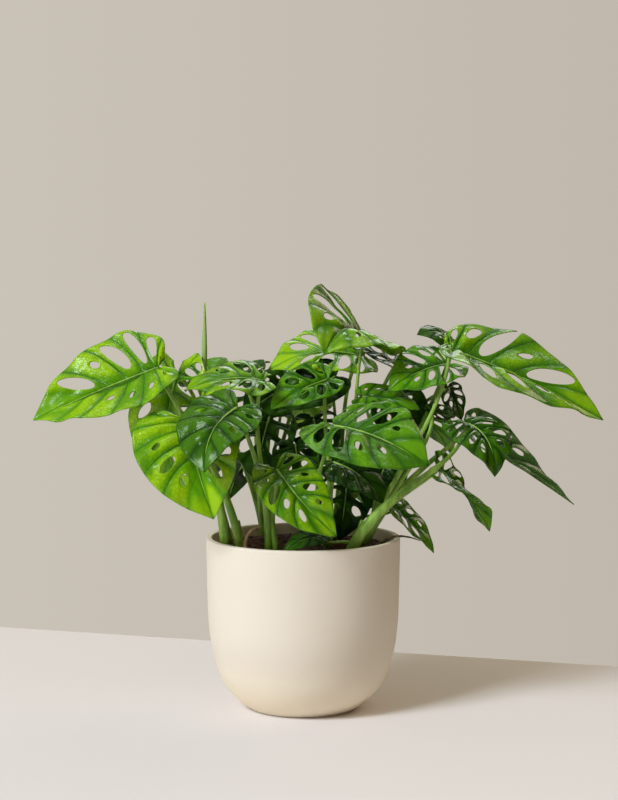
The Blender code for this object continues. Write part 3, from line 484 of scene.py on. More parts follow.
leafForms = {
    "leaf_left_large": dict(
        stem="stem_left_front", base=(-110, -12, 266), tip=(-205, -24, 226), bend=(4, -15, 0),
        face=(-0.1, -0.65, 0.76), width=80, arch=0.02, fold=(20, 22), tint="young",
        holes=((0.8, 0.9, 0.8, 0.2, 0.85), (0.16, 0.2, 0.18, 0.14, 0))),
    "leaf_left_hanging_back": dict(
        stem="stem_left", base=(-98, 14, 260), tip=(-88, 30, 150),
        face=(-0.55, -0.8, 0), width=72, arch=0.18, fold=(15, 15), tint="young",
        holes=((0.3, 0.5, 0.4, 0.2, 0.2), (0.9, 0.95, 0.4, 0.3, 0.5))),
    "leaf_left_hanging_front": dict(
        stem="stem_left", base=(-89, -42, 229), tip=(-66, -72, 157),
        face=(-0.16, -0.92, 0.35), width=86, fold=(22, 26), curl=0.2, tint="young",
        holes=((0, 0, 0.2, 0.4, 0.3), (0.2, 0.24, 0.2, 0.7, 0.5))),
    "leaf_left_dark": dict(
        stem="stem_front", base=(-48, -70, 241), tip=(-71, -106, 196), bend=(10, 0, 0),
        face=(-0.25, -0.68, 0.7), width=64, sweep=0.1, fold=(8, 14),
        holes=((0, 0.2, 0.3, 0, 0), (0, 0.3, 0, 0.2, 0))),
    "leaf_left_top": dict(
        stem="stem_front", base=(-29, -28, 257), tip=(-89, -34, 249),
        face=(0, -0.35, 0.94), width=50, fold=(12, 5), wave=0.06,
        holes=((0.7, 0.8, 0.5), (0.5, 0.7, 0.4))),
    "leaf_left_upright": dict(
        stem="stem_left", base=(-84, 28, 248), tip=(-62, 56, 268),
        face=(-0.2, -0.45, 0.85), width=44, arch=0.05, fold=(15, 15)),
    "leaf_middle_left_small": dict(
        stem="stem_back_left", base=(-47, 14, 250), tip=(-31, 34, 268),
        face=(-0.3, -0.4, 0.85), width=30, arch=0.05, fold=(20, 20), tint="dark"),
    "leaf_top": dict(
        stem="stem_back_right", base=(48, 20, 284), tip=(16, -38, 277), bend=(4, -4, 0), petiole=0.8,
        face=(0, -0.15, 0.99), width=90, arch=0.22, fold=(46, -10), curl=0.1, tint="young",
        holes=((0.2, 0.3, 0.95, 0.9, 0.3), (0.2, 0.3, 0.5, 0.24, 0.2))),
    "leaf_back_light": dict(
        stem="stem_back_right", base=(46, 48, 270), tip=(-28, 30, 259),
        face=(0, -0.48, 0.88), width=66, arch=0.14, fold=(8, 10), tint="young",
        holes=((0.8, 0.9, 0.95, 0.9, 0.6), (0.7, 0.9, 0.95, 0.8, 0.6))),
    "leaf_middle_low_tip": dict(
        stem="stem_middle", base=(20, -2, 256), tip=(-25, -22, 234),
        face=(-0.3, -0.75, 0.6), width=42, arch=0.08, fold=(20, 20),
        holes=((0.7, 0.9, 0.6), (0.8, 0.7, 0.5))),
    "leaf_middle_dark_top": dict(
        stem="stem_back_right", base=(74, 26, 264), tip=(34, 40, 278),
        face=(0, -0.1, 1), width=36, arch=0.08, fold=(10, 10), tint="dark"),
    "leaf_right_glossy": dict(
        stem="stem_right", base=(113, 8, 267), tip=(65, -10, 247),
        face=(-0.1, -0.72, 0.68), width=52, arch=0.12, fold=(10, 20), twist=-15,
        holes=((0.7, 0.95, 0.5, 0.9, 0.3), (0.4, 0.9, 0.95, 0.5, 0.3))),
    "leaf_right_large": dict(
        stem="stem_right", base=(110, -18, 281), tip=(228, -24, 226), bend=(9, -10, 0), slim=0.25,
        taper=0.55, face=(0.25, -0.7, 0.66), width=84, arch=0.04, fold=(34, 16), twist=20, tint="young",
        holes=((0.24, 0.2, 0.5, 0.5, 0.24), (0.7, 0.5, 0.95, 0.2, 0.95))),
    "leaf_right_dark_lobes": dict(
        stem="stem_back_right", base=(113, 20, 248), tip=(123, 16, 222),
        face=(0.75, -0.6, 0.3), width=30, arch=0, fold=(10, 10), tint="dark"),
    "leaf_right_long_tip": dict(
        stem="stem_right", base=(128, 22, 216), tip=(213, 30, 154), slim=0.6, taper=0.4,
        face=(0.45, -0.35, 0.8), width=62, arch=0, fold=(15, 15), curl=-0.3, twist=-30, tint="dark",
        holes=((0.6, 0.9, 0.8, 0.4, 0), (0.5, 0.7, 0.7, 0.3, 0))),
    "leaf_right_arched": dict(
        stem="stem_right_front", base=(123, -12, 224), tip=(145, -34, 184), bend=(0, -8, 0), petiole=0.75,
        face=(0.5, -0.72, 0.48), width=54, arch=0.26, fold=(12, 15), curl=0.7,
        holes=((0.5, 0.7, 0.8, 0.6, 0.4), (0.6, 0.7, 0.8, 0.6, 0.4))),
    "leaf_right_underside": dict(
        stem="stem_right", base=(98, 4, 229), tip=(117, -5, 227),
        face=(0.1, 0.5, 0.85), width=32, fold=(10, 10), tint="dark"),
    "leaf_right_curled": dict(
        stem="stem_right", base=(104, 2, 187), tip=(145, 8, 136), petiole=0.9,
        face=(0.6, 0.1, 0.7), width=46, arch=0.06, fold=(15, 15), twist=-70,
        holes=((0.6, 0.9, 0.5, 0.3, 0.2), (0.5, 0.95, 0.5, 0.3, 0.3))),
    "leaf_right_low": dict(
        stem="stem_back_right", base=(71, 30, 152), tip=(103, 33, 115), petiole=0.7,
        face=(0.75, -0.3, 0.6), width=34, arch=0.05, fold=(10, 20),
        holes=((0.24, 0.8, 0.7), (0.24, 0.5, 0.3))),
    "leaf_middle_front": dict(
        stem="stem_middle", base=(22, -48, 225), tip=(93, -76, 197), bend=(-18, -8, 0), neck=0.34,
        petiole=0.9, face=(0.2, -0.68, 0.7), width=84, arch=0.14, sweep=0.04, fold=(15, 12), curl=0.4,
        twist=20,
        holes=((0.5, 0.6, 0.7, 0.24, 0.3), (0.24, 0.3, 0.9, 0.6, 0.2))),
    "leaf_middle_under_front": dict(
        stem="stem_middle", base=(22, -18, 194), tip=(61, -26, 161),
        face=(0.3, -0.5, 0.8), width=50, arch=0.15, fold=(15, 15), curl=0.5, tint="dark",
        holes=((0.2, 0.24, 0.3, 0.2, 0.2), (0.2, 0.5, 0.3, 0.2, 0))),
    "leaf_middle_ribbed": dict(
        stem="stem_back_left", base=(-6, -4, 206), tip=(0, -16, 168), neck=0.12,
        face=(-0.2, -0.9, 0.4), width=38, fold=(18, 18), tint="dark"),
    "leaf_front_low": dict(
        stem="stem_front", base=(-20, -60, 194), tip=(25, -78, 145),
        face=(0.25, -0.93, 0.2), width=50, arch=0.08, sweep=0.05, fold=(20, 8),
        holes=((0.3, 0.24, 0.7, 0.3, 0.4), (0.6, 0.8, 0.24, 0.5, 0.2))),
    "leaf_middle_upright_dark": dict(
        stem="stem_back_right", base=(34, 12, 174), tip=(28, 0, 130),
        face=(0.1, -0.95, 0.3), width=42, arch=0.12, fold=(12, 12), tint="dark"),
    "leaf_inner_left": dict(
        stem="stem_back_left", base=(-26, 14, 226), tip=(-37, 3, 176),
        face=(-0.1, -0.9, 0.4), width=50, arch=0.12, fold=(15, 15), tint="dark"),
    "leaf_inner_middle": dict(
        stem="stem_back_left", base=(8, 18, 224), tip=(14, 8, 186),
        face=(0.05, -0.85, 0.5), width=40, arch=0.15, fold=(12, 12), curl=0.5, tint="dark"),
    "leaf_right_small_curled": dict(
        stem="stem_back_right", base=(116, 27, 285), tip=(88, 12, 289), petiole=0.7,
        face=(0, -0.55, 0.85), width=32, arch=0.15, fold=(5, 5), curl=0.9, tint="dark",
        holes=((0.2, 0.24, 0.2), (0.2, 0.24, 0.2))),
    "leaf_right_dark_long": dict(
        stem="stem_right", base=(44, 0, 242), tip=(90, -6, 232), petiole=0.8,
        face=(-0.1, -0.6, 0.8), width=28, fold=(14, 14),
        holes=((0, 0.2, 0), (0.2, 0.24, 0))),
    "leaf_inner_high": dict(
        stem="stem_back_right", base=(26, 26, 256), tip=(-16, 18, 230), petiole=0.8,
        face=(-0.1, -0.8, 0.6), width=44, fold=(14, 14), tint="dark",
        holes=smallHoles),
    "leaf_inner_top_left": dict(
        stem="stem_back_left", base=(-12, 44, 246), tip=(-48, 40, 222), petiole=0.8,
        face=(-0.1, -0.85, 0.5), width=42, fold=(14, 14), tint="dark",
        holes=((0.2, 0.2, 0.2), (0.24, 0.2, 0))),
    "leaf_inner_right": dict(
        stem="stem_back_right", base=(66, 24, 238), tip=(97, 22, 204), petiole=0.8,
        face=(0.1, -0.9, 0.4), width=46, fold=(14, 14), tint="dark",
        holes=smallHoles),
    "leaf_inner_low_right": dict(
        stem="stem_back_right", base=(66, 22, 190), tip=(50, 18, 152), petiole=0.8,
        face=(0, -0.9, 0.4), width=40, fold=(14, 14), tint="dark",
        holes=((0.2, 0.2, 0.2), (0.2, 0.24, 0))),
    "leaf_front_soil": dict(
        stem="stem_right_front", base=(15, -48, 141), tip=(-15, -54, 130), petiole=0.7, neck=0.45,
        face=(0, -0.5, 0.85), width=22, arch=0.12, fold=(12, 12), tint="dark",
        holes=((0, 0.2, 0), (0.2, 0, 0))),
    "leaf_back_left_long": dict(
        stem="stem_back_left", base=(-62, 66, 232), tip=(-112, 118, 186),
        face=(-0.35, 0.45, 0.82), width=66, fold=(16, 16),
        holes=((0.5, 0.8, 0.9, 0.7, 0.5), (0.5, 0.8, 0.8, 0.7, 0.4))),
    "leaf_back_middle_long": dict(
        stem="stem_back_left", base=(-8, 74, 244), tip=(2, 148, 196),
        face=(0.05, 0.55, 0.84), width=68, fold=(16, 16), tint="young",
        holes=((0.5, 0.8, 0.9, 0.7, 0.5), (0.5, 0.9, 0.8, 0.6, 0.4))),
    "leaf_back_right_long": dict(
        stem="stem_back_right", base=(66, 62, 230), tip=(122, 112, 184),
        face=(0.4, 0.4, 0.82), width=62, fold=(16, 16),
        holes=((0.5, 0.7, 0.9, 0.7, 0.5), (0.5, 0.8, 0.9, 0.7, 0.4))),
    "leaf_back_left_low": dict(
        stem="stem_back_left", base=(-44, 74, 186), tip=(-62, 112, 146),
        face=(-0.25, 0.75, 0.6), width=44, fold=(16, 16), tint="dark"),
    "leaf_back_right_low": dict(
        stem="stem_back_right", base=(34, 80, 182), tip=(50, 116, 142),
        face=(0.25, 0.8, 0.55), width=46, fold=(16, 16)),
    "leaf_back_top": dict(
        stem="stem_back_left", base=(-40, 56, 262), tip=(-70, 92, 244),
        face=(-0.2, 0.15, 0.95), width=44, arch=0.08, fold=(14, 14)),
}


bladeRest = dict(arch=0.1, sweep=0, curl=0.3, twist=0, wave=0, slim=0, taper=0)  # where a leaf names none


class Blade:  # where a point of the flat blade lies in space, in mm
    def __init__(self, leaf):
        form = {**bladeRest, **leaf}
        self.base = Vector(form["base"])
        along = Vector(form["tip"]) - self.base
        self.length = along.length
        self.along = along.normalized()
        face = Vector(form["face"]).normalized()
        self.up = (face - face.dot(self.along) * self.along).normalized()
        self.side = self.along.cross(self.up)
        self.half = form["width"] / 2
        self.arch, self.sweep, self.wave = form["arch"], form["sweep"], form["wave"]
        self.slim, self.taper = form["slim"], form["taper"]
        self.fold = [math.radians(angle) for angle in form["fold"]]
        self.curl = form["curl"] / self.half + 1e-9  # never 0, since point() divides by it
        self.twist = math.radians(form["twist"])

    def midrib(self, x):  # point, upward and sideways directions, from 0 at the base to 1
        bow = 4 * x * (1 - x) * self.length
        point = self.base + self.along * x * self.length
        point = point + self.up * self.arch * bow + self.side * self.sweep * bow
        slope = 4 * (1 - 2 * x)
        tangent = (self.along + self.up * self.arch * slope + self.side * self.sweep * slope).normalized()
        up = (self.up - self.up.dot(tangent) * tangent).normalized()
        side = tangent.cross(up)
        angle = self.twist * (x - 0.5)
        cos, sin = math.cos(angle), math.sin(angle)
        return point, up * cos + side * sin, side * cos - up * sin

    def point(self, t, v):  # t counts veins from the base; v is 0 on the midrib, 1 or -1 at the margin
        root, endX = splineValue(veinRoot, t), splineValue(marginAlong, t)
        endY = splineValue(marginAcross, t) * (1 - self.slim * max(endX, 0))
        endY *= 1 - self.taper * max(0, 1 - t / bladeForm["taperVein"])
        endX *= 1 - self.taper if endX < 0 else 1
        a = abs(v)
        bend = root + bladeForm["veinReach"] * (endX - root)
        x = (1 - a) ** 2 * root + 2 * a * (1 - a) * bend + a * a * endX
        across = (2 * a * (1 - a) * bladeForm["veinBow"] * endY + a * a * endY) * self.half
        middle, up, side = self.midrib(x)
        fold = self.fold[0 if v > 0 else 1]
        lateral = (math.sin(fold) - math.sin(fold - self.curl * across)) / self.curl
        height = (math.cos(fold - self.curl * across) - math.cos(fold)) / self.curl
        shift = bladeForm["waveShift"] if v > 0 else 0
        height += self.wave * self.half * a * a * math.sin(bladeForm["waveRate"] * t + shift)
        return middle + side * math.copysign(lateral, v) + up * height

    def seat(self):  # where the petiole meets the blade from below, and its direction there
        middle, up, _ = self.midrib(bladeForm["petiole"] / self.length)
        return middle - up * (bladeForm["solidHalf"] + bladeForm["seatGap"] + bladeForm["seatSink"]), up


def seededHoles(name):
    draw = random.Random(name)
    return [[round(draw.uniform(*holeForm["seeded"]), 2) for _ in range(3)] for _ in range(2)]


def stripFaces(bm, strip, side, past):  # the faces of one strip whose middle lies past a share of the half
    made = []
    for face in bm.faces:
        middle = face.calc_center_median()
        if int(middle.x) == strip and middle.y * side > past:
            made.append(face)
    return made


def cutHole(bm, block, strip, side, size, drift, seat):
    centre = Vector((strip + 0.5, holeForm["centre"] * side, 0))
    for vert in {vert for face in block for vert in face.verts}:
        at = vert.co - centre
        waist = abs(vert.co.y * side - 0.5) < holeForm["waistBand"]
        end = "outer" if vert.co.y * side > 0.5 else "inner"
        vert.co.x = centre.x + math.copysign(holeForm["waist" if waist else end] * size**0.5, at.x)
        vert.co.y = centre.y + (0.0 if waist else math.copysign(holeForm["across"] * size, at.y))
        ragged = noise.noise_vector(vert.co * holeForm["raggedRate"] + seat) * holeForm["ragged"]
        vert.co += drift + Vector((*ragged.xy, 0))
    bmesh.ops.delete(bm, geom=block, context="FACES")


def tearHole(bm, strip, side):  # opens a hole to the margin; the lobes at its sides almost meet
    bmesh.ops.delete(bm, geom=stripFaces(bm, strip, side, holeForm["tornPast"]), context="FACES")
    middle = strip + 0.5
    for vert in bm.verts:
        if abs(vert.co.x - middle) < holeForm["lobeWidth"] and vert.co.y * side > holeForm["lobePast"]:
            vert.co.x += (middle - vert.co.x) * holeForm["tear"]


def flatBlade(name, holes, gaps):  # x counts the strips between veins, y runs along them
    strips = len(holes[0]) + 2
    draw = random.Random(name + " holes")
    seat = Vector((draw.uniform(0, 50), draw.uniform(0, 50), 0))
    bm = bmesh.new()
    bmesh.ops.create_grid(bm, x_segments=strips, y_segments=4, size=1)
    for vert in bm.verts:
        vert.co.x = (vert.co.x + 1) / 2 * strips
    for side, sizes in zip((1, -1), holes):
        for strip, size in enumerate(sizes, start=1):
            if size <= 0:
                continue
            block = stripFaces(bm, strip, side, 0)
            bmesh.ops.inset_region(
                bm, faces=block, thickness=holeForm["inset"], use_boundary=True, use_even_offset=True)
            along, across = holeForm["drift"]
            drift = Vector((draw.uniform(-along, along), draw.uniform(-across, across) * (1 - size), 0))
            cutHole(bm, block, strip, side, size, drift, seat)
            if (strip, side) in gaps:
                tearHole(bm, strip, side)
    crease = bm.edges.layers.float.new("crease_edge")
    for edge in bm.edges:
        if max(abs(vert.co.y) for vert in edge.verts) < 0.01:
            edge[crease] = 1.0
    level = bladeForm["detail"]
    smooth = dict(levels=level, render_levels=level, boundary_smooth="PRESERVE_CORNERS")
    return settled(meshFrom(name + "_flat", bm), name, ("SUBSURF", smooth)), strips


def fullness(x, v, seed):  # how far the blade swells between its veins, 0 to 1
    form = fullForm
    between = abs(math.sin(math.pi * x)) ** form["round"]
    patchAlong, patchAcross = form["patchRate"]
    patch = noise.noise(Vector((x * patchAlong, v * patchAcross, seed + form["patchSeat"])))
    share = form["mean"] * (1 + patch)
    return max(0.0, min(1.0, between * min(1, abs(v) * form["ribRise"]) * share))


def relief(x, v, full, seed):  # how far the blade stands up from its smooth form, in mm
    form, a = reliefForm, abs(v)
    quilt = form["quilt"] * (full - form["quiltRest"]) * (1 - form["quiltFlat"] * a * a)
    furrow = -form["furrow"] * max(0, 1 - a * form["furrowEnd"])
    beat = math.pi * x * form["rippleRate"] + seed + (form["rippleShift"] if v > 0 else 0)
    ripple = form["ripple"] * a * a * math.sin(beat)
    swayAlong, swayAcross = form["swayRate"]
    sway = form["sway"] * noise.noise(Vector((x * swayAlong, v * swayAcross, seed)))
    puckerAlong, puckerAcross = form["puckerRate"]
    pucker = form["pucker"] * noise.noise(Vector((x * puckerAlong, v * puckerAcross, seed)))
    return quilt + furrow + ripple + sway + pucker


def buildLeaf(node, leaf, finishes):
    blade = Blade(leaf)
    flat, strips = flatBlade(node, leaf.get("holes") or seededHoles(node), tornHoles.get(node, ()))
    seed = random.Random(node + " relief").uniform(0, 40)
    size = min(1.0, blade.half / bladeForm["fullHalf"])
    bm = bmesh.new()
    bm.from_mesh(flat)
    place = bm.verts.layers.float_vector.new("place")
    swell = bm.verts.layers.float.new("swell")
    ring = {vert for vert in bm.verts if vert.is_boundary}
    for vert in bm.verts:
        vert[place] = (strips - vert.co.x, vert.co.y, 0)  # x from the tip, y across, z closeness to an edge
    reached = set()
    for closeness in bladeForm["rimFade"]:
        for vert in ring:
            vert[place].z = closeness
        reached |= ring
        ring = {edge.other_vert(vert) for vert in ring for edge in vert.link_edges} - reached
    for vert in bm.verts:
        vert.co = blade.point(min(vert.co.x / strips, 1) * (len(veinRoot) - 1), vert.co.y) * mm
    bmesh.ops.remove_doubles(bm, verts=bm.verts[:], dist=bladeForm["weld"])
    bmesh.ops.reverse_faces(bm, faces=bm.faces[:])
    bm.normal_update()
    for vert, normal in [(vert, vert.normal.copy()) for vert in bm.verts]:
        x, v, _ = vert[place]
        vert[swell] = fullness(x, v, seed)
        calm = min(1, x / reliefForm["calmTip"])
        vert.co += normal * relief(x, v, vert[swell], seed) * size * calm * mm
    wall = dict(thickness=bladeForm["thickness"] * mm, offset=0, material_offset=1, material_offset_rim=2)
    sheet = meshFrom(node, bm)
    for finish in finishes:
        sheet.materials.append(finish)
    mesh = settled(sheet, node, ("SOLIDIFY", wall))
    slots = {"green": "leaf_green", "young": "young_leaf", "dark": "shaded_leaf"}
    addPiece(node + "_blade", mesh, finishes, slots[leaf.get("tint", "green")], node)


skinForm = dict(
    topShine=0.23, shine=0.13, bodyFade=(0.4, 1.8), cloud=(34, 3), fine=(230, 1), bulge=(95, 1),
    lateralWidth=0.032, midribWidth=0.024, besideWidth=0.07, minorWidth=0.2, minorCount=3, minorLean=1.5,
    netScale=260, netWidth=(0.02, 0.16), hollow=0.36, patchFade=(0.25, 0.6), toneAndSwellLightFade=(0.45, 0.85),
    veinFade=(0.05, 1.0), underFade=(0.3, 0.7), paleShare=1.35, dullShare=0.7, edgeRough=0.45,
    topRough=0.12, topBump=(0.0009, 0.5), underRough=0.5, underBump=(0.0008, 0.6))
skinShares = dict(
    veins=dict(lateral=1, midrib=1.2), patches=dict(cloud=0.6, fine=0.4),
    toneAndSwellLight=dict(full=0.55, cloud=0.6, fine=0.2), rib=dict(midrib=0.45, rim=0.3),
    deep=dict(shadow=0.5, minor=0.12, lateral=0.65, net=0.26, beside=0.5),
    topRough=dict(cloud=0.1, fine=0.06),
    topHeight=dict(bulge=2.2, fine=0.05, minor=-0.06, net=-0.12, sunk=-0.9),
    underRib=dict(veins=0.8, minor=0.2), underRough=dict(fine=0.1), underHeight=dict(veins=0.8, fine=0.3))


def weighed(on, name):  # wires of a pattern added up, each times its share
    return sum(on[part] * share for part, share in skinShares[name].items())


def leafPattern(shade):  # the wires that both faces of a blade need
    form = skinForm
    place = shade.node("ShaderNodeAttribute", {"attribute_name": "place"}, output="Vector")
    x = shade.node("ShaderNodeSeparateXYZ", {}, {0: place}, "X")
    across = abs(x.output("Y"))
    body = shade.step(x, *form["bodyFade"])  # the pattern fades out in the narrow tip
    fine = shade.grain(*form["fine"])
    minor = x * form["minorCount"] + 0.5 + across * form["minorLean"] + fine
    on = dict(across=across, rim=x.output("Z"), body=body, cloud=shade.grain(*form["cloud"]), fine=fine)
    on["lateral"] = shade.ridge((x + 0.5).fraction() - 0.5, form["lateralWidth"]) * body
    on["minor"] = shade.ridge(minor.fraction() - 0.5, form["minorWidth"]) * body
    on["midrib"] = shade.ridge(across, form["midribWidth"])
    on["veins"] = shade.step(weighed(on, "veins"), *form["veinFade"])
    return on


def topFinish(shade, tones):
    form, on = skinForm, leafPattern(shade)
    body = on["body"]
    on["full"] = shade.node("ShaderNodeAttribute", {"attribute_name": "swell"}, output="Fac")
    on["bulge"] = shade.grain(*form["bulge"])
    toCell = {"feature": "DISTANCE_TO_EDGE"}
    cells = shade.grain(form["netScale"], 0, kind="ShaderNodeTexVoronoi", settings=toCell)
    on["net"] = (1 - shade.step(cells, *form["netWidth"])) * body
    patches = shade.step(weighed(on, "patches"), *form["patchFade"])
    on["shadow"] = shade.ridge(on["full"], form["hollow"]) * patches * body
    on["beside"] = shade.ridge(on["across"], form["besideWidth"]) * body
    on["sunk"] = on["veins"] * body
    # painted light mixed with tone: where the blade swells between its veins it turns towards glow, as if
    # lit, in patches of random tone
    toneAndSwellLight = shade.step(weighed(on, "toneAndSwellLight"), *form["toneAndSwellLightFade"])
    colour = shade.blend(toneAndSwellLight, tones["light"], tones["glow"])
    colour = shade.blend(weighed(on, "deep"), colour, tones["deep"])
    colour = shade.blend(weighed(on, "rib"), colour, tones["vein"])
    rough = form["topRough"] + weighed(on, "topRough")
    return shade.finish(colour, rough, weighed(on, "topHeight"), *form["topBump"])


def underFinish(shade, tones):
    form, on = skinForm, leafPattern(shade)
    pale, dull = ([part * form[share] for part in tones["under"]] for share in ("paleShare", "dullShare"))
    colour = shade.blend(shade.step(on["cloud"], *form["underFade"]), tones["under"], dull)
    colour = shade.blend(weighed(on, "underRib"), colour, pale)
    rough = form["underRough"] + weighed(on, "underRough")
    return shade.finish(colour, rough, weighed(on, "underHeight"), *form["underBump"])


def edgeFinish(shade, tones):
    colour = shade.blend(shade.grain(*skinForm["fine"]), tones["vein"], tones["glow"])
    return shade.finish(colour, skinForm["edgeRough"])


def leafFinishes(tint, tones):
    made = []
    for part, finish in (("top", topFinish), ("under", underFinish), ("edge", edgeFinish)):
        shine = skinForm["topShine" if part == "top" and tint != "dark" else "shine"]
        made.append(finish(paint(f"{tint}_leaf_{part}", Specular_IOR_Level=shine), tones))
    return made


# Stems
stemForms = {
    "stem_left": dict(foot=(-58, -8), head=(-61, -10, 150), radius=3.0),
    "stem_left_front": dict(foot=(-46, -27), head=(-49, -29, 148), radius=3.2),
    "stem_front": dict(foot=(-22, -40), head=(-26, -43, 146), radius=3.6),
    "stem_middle": dict(foot=(18, -22), head=(20, -24, 150), radius=3.4),
    "stem_right": dict(foot=(44, -12), head=(60, -12, 165), radius=4.2),
    "stem_right_front": dict(foot=(36, -38), head=(44, -40, 150), radius=3.4),
    "stem_back_left": dict(foot=(-28, 30), head=(-32, 34, 160), radius=3.6),
    "stem_back_right": dict(foot=(26, 32), head=(32, 36, 160), radius=3.6),
}
stoutStalks = dict(
    leaf_right_curled=1.9, leaf_right_arched=2.5, leaf_left_hanging_front=1.2, leaf_left_hanging_back=1.2,
    leaf_left_large=1.4, leaf_right_long_tip=1.6, leaf_left_dark=1.3, leaf_front_low=1.3, leaf_top=1.3)
stemShape = dict(
    buried=12, steps=12, thick=0.62, thinning=0.2, knot=0.06, knots=2, over=2, endShare=0.35, stalkTurn=2.4)
petioleForm = dict(
    points=26, roundness=4, rise=0.1, spread=0.9, lean=0.35, leave=0.45, neck=0.28,
    thick=1.25, thinning=0.5, stoutFade=1.2, knuckle=0.2, knuckleAt=0.93, knuckleWidth=0.05,
    ribPoints=12, ribStart=0.03, ribReach=0.85, ribThick=0.8, ribThinning=1.15, ribSink=0.25,
    sheathEnd=0.5, sheathThick=1.22, sheathThinning=0.25, sheathLip=0.98)
stemSkin = dict(
    deep=(0.11, 0.25, 0.018), light=(0.32, 0.54, 0.075), fleck=(0.42, 0.57, 0.14), fleckShare=0.4,
    streakGrain=(260, 3, (1, 1, 0.08)), cloudGrain=(30, 2), fleckGrain=(500, 2), bump=(0.0005, 0.6))


def stemLine(stem):
    head = Vector(stem["head"])
    x, y = stem["foot"]
    foot = Vector((x, y, soilHeight(math.hypot(x, y))))
    return foot, head, (head - foot).normalized()


def petiolePath(stem, leaf, blade, turn):
    foot, head, direction = stemLine(stem)
    aside = Vector((math.cos(turn), math.sin(turn), 0)) * stem["radius"] * petioleForm["spread"]
    start = foot.lerp(head, petioleForm["rise"]) + aside
    end, arrive = blade.seat()
    end = end + arrive * bladeForm["seatGap"]
    span = (end - start).length
    leave = (direction + petioleForm["lean"] * (end - start).normalized()).normalized()
    via = Vector(leaf.get("bend", (0, 0, 0)))
    neck = end - arrive * leaf.get("neck", petioleForm["neck"]) * span + via
    swing = start + leave * petioleForm["leave"] * span + via
    return bezier(start, swing, neck, end, petioleForm["points"])


def petioleTubes(node, stem, leaf, turn):
    form, blade = petioleForm, Blade(leaf)
    path = petiolePath(stem, leaf, blade, turn)
    last = len(path) - 1
    thin = leaf.get("petiole", 1.0)
    stout = stoutStalks.get(node, 1.0) - 1
    radii = []
    for i in range(last + 1):
        f = i / last
        taper = form["thick"] * (1 + stout * (1 - f) ** form["stoutFade"]) - form["thinning"] * f
        knuckle = 1 + form["knuckle"] * math.exp(-(((f - form["knuckleAt"]) / form["knuckleWidth"]) ** 2))
        radii.append(thin * bladeForm["petiole"] * taper * knuckle)
    # the stalk runs on under the blade as its midrib
    for i in range(1, form["ribPoints"] + 1):
        x = form["ribStart"] + form["ribReach"] * i / form["ribPoints"]
        middle, up, _ = blade.midrib(x)
        radius = form["ribThick"] * (form["ribThinning"] - x) * thin
        path.append(middle - up * (form["ribSink"] + radius / 2))
        radii.append(radius)
    # an older sheath wraps the lower part of the stalk and ends in a thin lip
    reach = int(last * form["sheathEnd"])
    wrap = [radii[i] * (form["sheathThick"] - form["sheathThinning"] * i / reach) for i in range(reach)]
    return [(path, radii), (path[: reach + 1], [*wrap, radii[reach] * form["sheathLip"]])]


def newLeafTube(foot, head, direction):
    form = newLeafForm
    end, last = Vector(form["base"]), form["stalkPoints"] - 1
    start = foot.lerp(head, form["stalkFrom"])
    swing, neck = head + direction * form["reach"], end - Vector((0, 0, form["reach"]))
    path = bezier(start, swing, neck, end, last + 1)
    return path, [form["thick"] - form["thinning"] * i / last for i in range(last + 1)]


def buildStem(node, stem, finish):
    form, radius = stemShape, stem["radius"]
    foot, head, direction = stemLine(stem)
    points, radii = [foot - direction * form["buried"]], [radius]
    for i in range(form["steps"] + 1):
        f = i / form["steps"]
        points.append(foot.lerp(head, f))
        knot = 1 + form["knot"] * max(0, math.cos(f * 2 * math.pi * form["knots"]))
        radii.append(radius * (form["thick"] - form["thinning"] * f) * knot)
    points.append(head + direction * form["over"])
    radii.append(radius * form["endShare"])
    paths = [(points, radii)]
    grown = [leafNode for leafNode, leaf in leafForms.items() if leaf["stem"] == node]
    for place, leafNode in enumerate(grown):  # the stalks stand around the stem
        turn = form["stalkTurn"] * place + stem["foot"][0]
        paths += petioleTubes(leafNode, stem, leafForms[leafNode], turn)
    if newLeafForm["stem"] == node:
        paths.append(newLeafTube(foot, head, direction))
    addPiece(node + "_stalks", tubes(node, paths, petioleForm["roundness"]), [finish], "stem_green", node)


def stemFinish():
    form = stemSkin
    shade = paint("stem_skin", Specular_IOR_Level=0.45)
    streak, cloud, fleck = [shade.grain(*form[name + "Grain"]) for name in ("streak", "cloud", "fleck")]
    share = shade.step(cloud * 0.5 + streak * 0.5, 0.35, 0.65)
    colour = shade.blend(share, form["deep"], form["light"])
    colour = shade.blend(shade.step(fleck, 0.6, 0.75) * form["fleckShare"], colour, form["fleck"])
    return shade.finish(colour, 0.36 + streak * 0.14, streak * 0.6 + fleck * 0.3, *form["bump"])


# The rolled new leaf
newLeafForm = dict(
    stem="stem_left", base=(-77, 11, 238), tip=(-76, 11, 314), radius=2.2, turns=1.8, twist=0.7, wall=0.35,
    swell=(0.72, 1.0, 1.02, 0.92, 0.62, 0.14), core=0.45, grid=(44, 30),
    stalkFrom=0.8, reach=30, stalkPoints=24, thick=1.9, thinning=0.3,
    tone=(0.20, 0.36, 0.06), pale=(0.34, 0.48, 0.16))


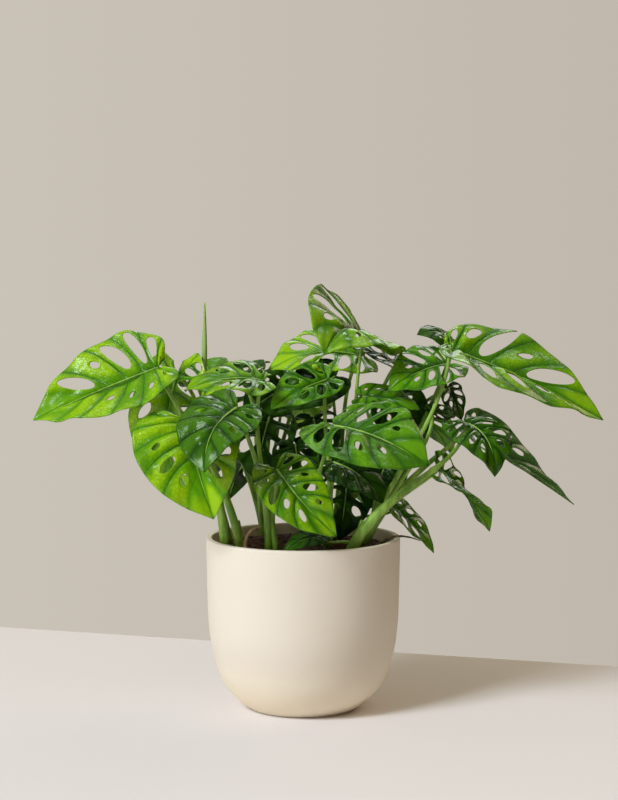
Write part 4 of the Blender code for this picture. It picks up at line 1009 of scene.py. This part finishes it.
def buildNewLeaf():
    form = newLeafForm
    base, tip = Vector(form["base"]), Vector(form["tip"])
    around, along = form["grid"]
    bm = bmesh.new()
    bmesh.ops.create_grid(bm, x_segments=around, y_segments=along, size=0.5)
    for vert in bm.verts:
        u, h = vert.co.x + 0.5, vert.co.y + 0.5
        swell = splineValue(form["swell"], h * (len(form["swell"]) - 1))
        angle = 2 * math.pi * (form["turns"] * u + form["twist"] * h)
        radius = form["radius"] * swell * (form["core"] + (1 - form["core"]) * u)
        axis = base.lerp(tip, h)
        vert.co = (axis + Vector((math.cos(angle), math.sin(angle), 0)) * radius) * mm
    bmesh.ops.recalc_face_normals(bm, faces=bm.faces[:])
    wall = dict(thickness=form["wall"] * mm, offset=0)
    mesh = settled(meshFrom("rolled", bm), "rolled", ("SOLIDIFY", wall))
    shade = paint("rolled_leaf_skin", Specular_IOR_Level=0.45)
    streak = shade.grain(300, 3, (1, 1, 0.06))
    colour = shade.blend(shade.step(streak, 0.35, 0.65), form["tone"], form["pale"])
    finish = shade.finish(colour, 0.38 + streak * 0.1, streak, 0.0004, 0.5)
    addPiece("new_leaf_scroll", mesh, [finish], "stem_green", "new_leaf_rolled")
    print("new leaf ready")


# Small things on the soil
strandForms = dict(
    aerial=dict(
        line=(
            (-42, -36, 118), (-43.5, -34, 126), (-44, -32, 133), (-42, -30, 139), (-38, -28, 143),
            (-33, -24, 144)),
        thick=1.5, end=0.6, tones=((0.88, 0.62, 0.42), (0.66, 0.38, 0.22))),
    withered=dict(
        line=(
            (38, -22, 123), (52, -24, 128), (64, -21, 134), (73, -18, 136.2), (82, -16, 135),
            (90, -13, 132)),
        thick=1.2, end=0.25, tones=((0.055, 0.05, 0.025), (0.20, 0.16, 0.07))))
strandShape = dict(steps=6, uneven=0.12, unevenRate=1.7)


def strandFinish(name, tones):
    shade = paint(name + "_skin", Specular_IOR_Level=0.25)
    bark = shade.grain(400, 3)
    colour = shade.blend(shade.step(bark, 0.35, 0.7), *tones)
    return shade.finish(colour, 0.7 + bark * 0.1, bark, 0.0006, 0.8)


def buildSmallThings():
    for name, form in strandForms.items():
        points = smoothLine(form["line"], strandShape["steps"])
        last = len(points) - 1
        radii = []
        for i in range(last + 1):
            uneven = 1 + strandShape["uneven"] * math.sin(i * strandShape["unevenRate"])
            radii.append(form["thick"] * (1 - (1 - form["end"]) * (i / last) ** 2) * uneven)
        finish = strandFinish(name, form["tones"])
        addPiece(name + "_strand", tubes(name, [(points, radii)]), [finish], "stem_green")
    print("small things ready")


def build():
    buildStage()
    buildPot()
    buildSoil()
    skin = stemFinish()
    for node, stem in stemForms.items():
        buildStem(node, stem, skin)
    print("stems ready")
    buildNewLeaf()
    finishes = {tint: leafFinishes(tint, tones) for tint, tones in leafTints.items()}
    for node, leaf in leafForms.items():
        buildLeaf(node, leaf, finishes[ownTones.get(node, leaf.get("tint", "green"))])
    print("leaves ready:", len(leafForms))
    buildSmallThings()


build()
bpy.context.view_layer.update()
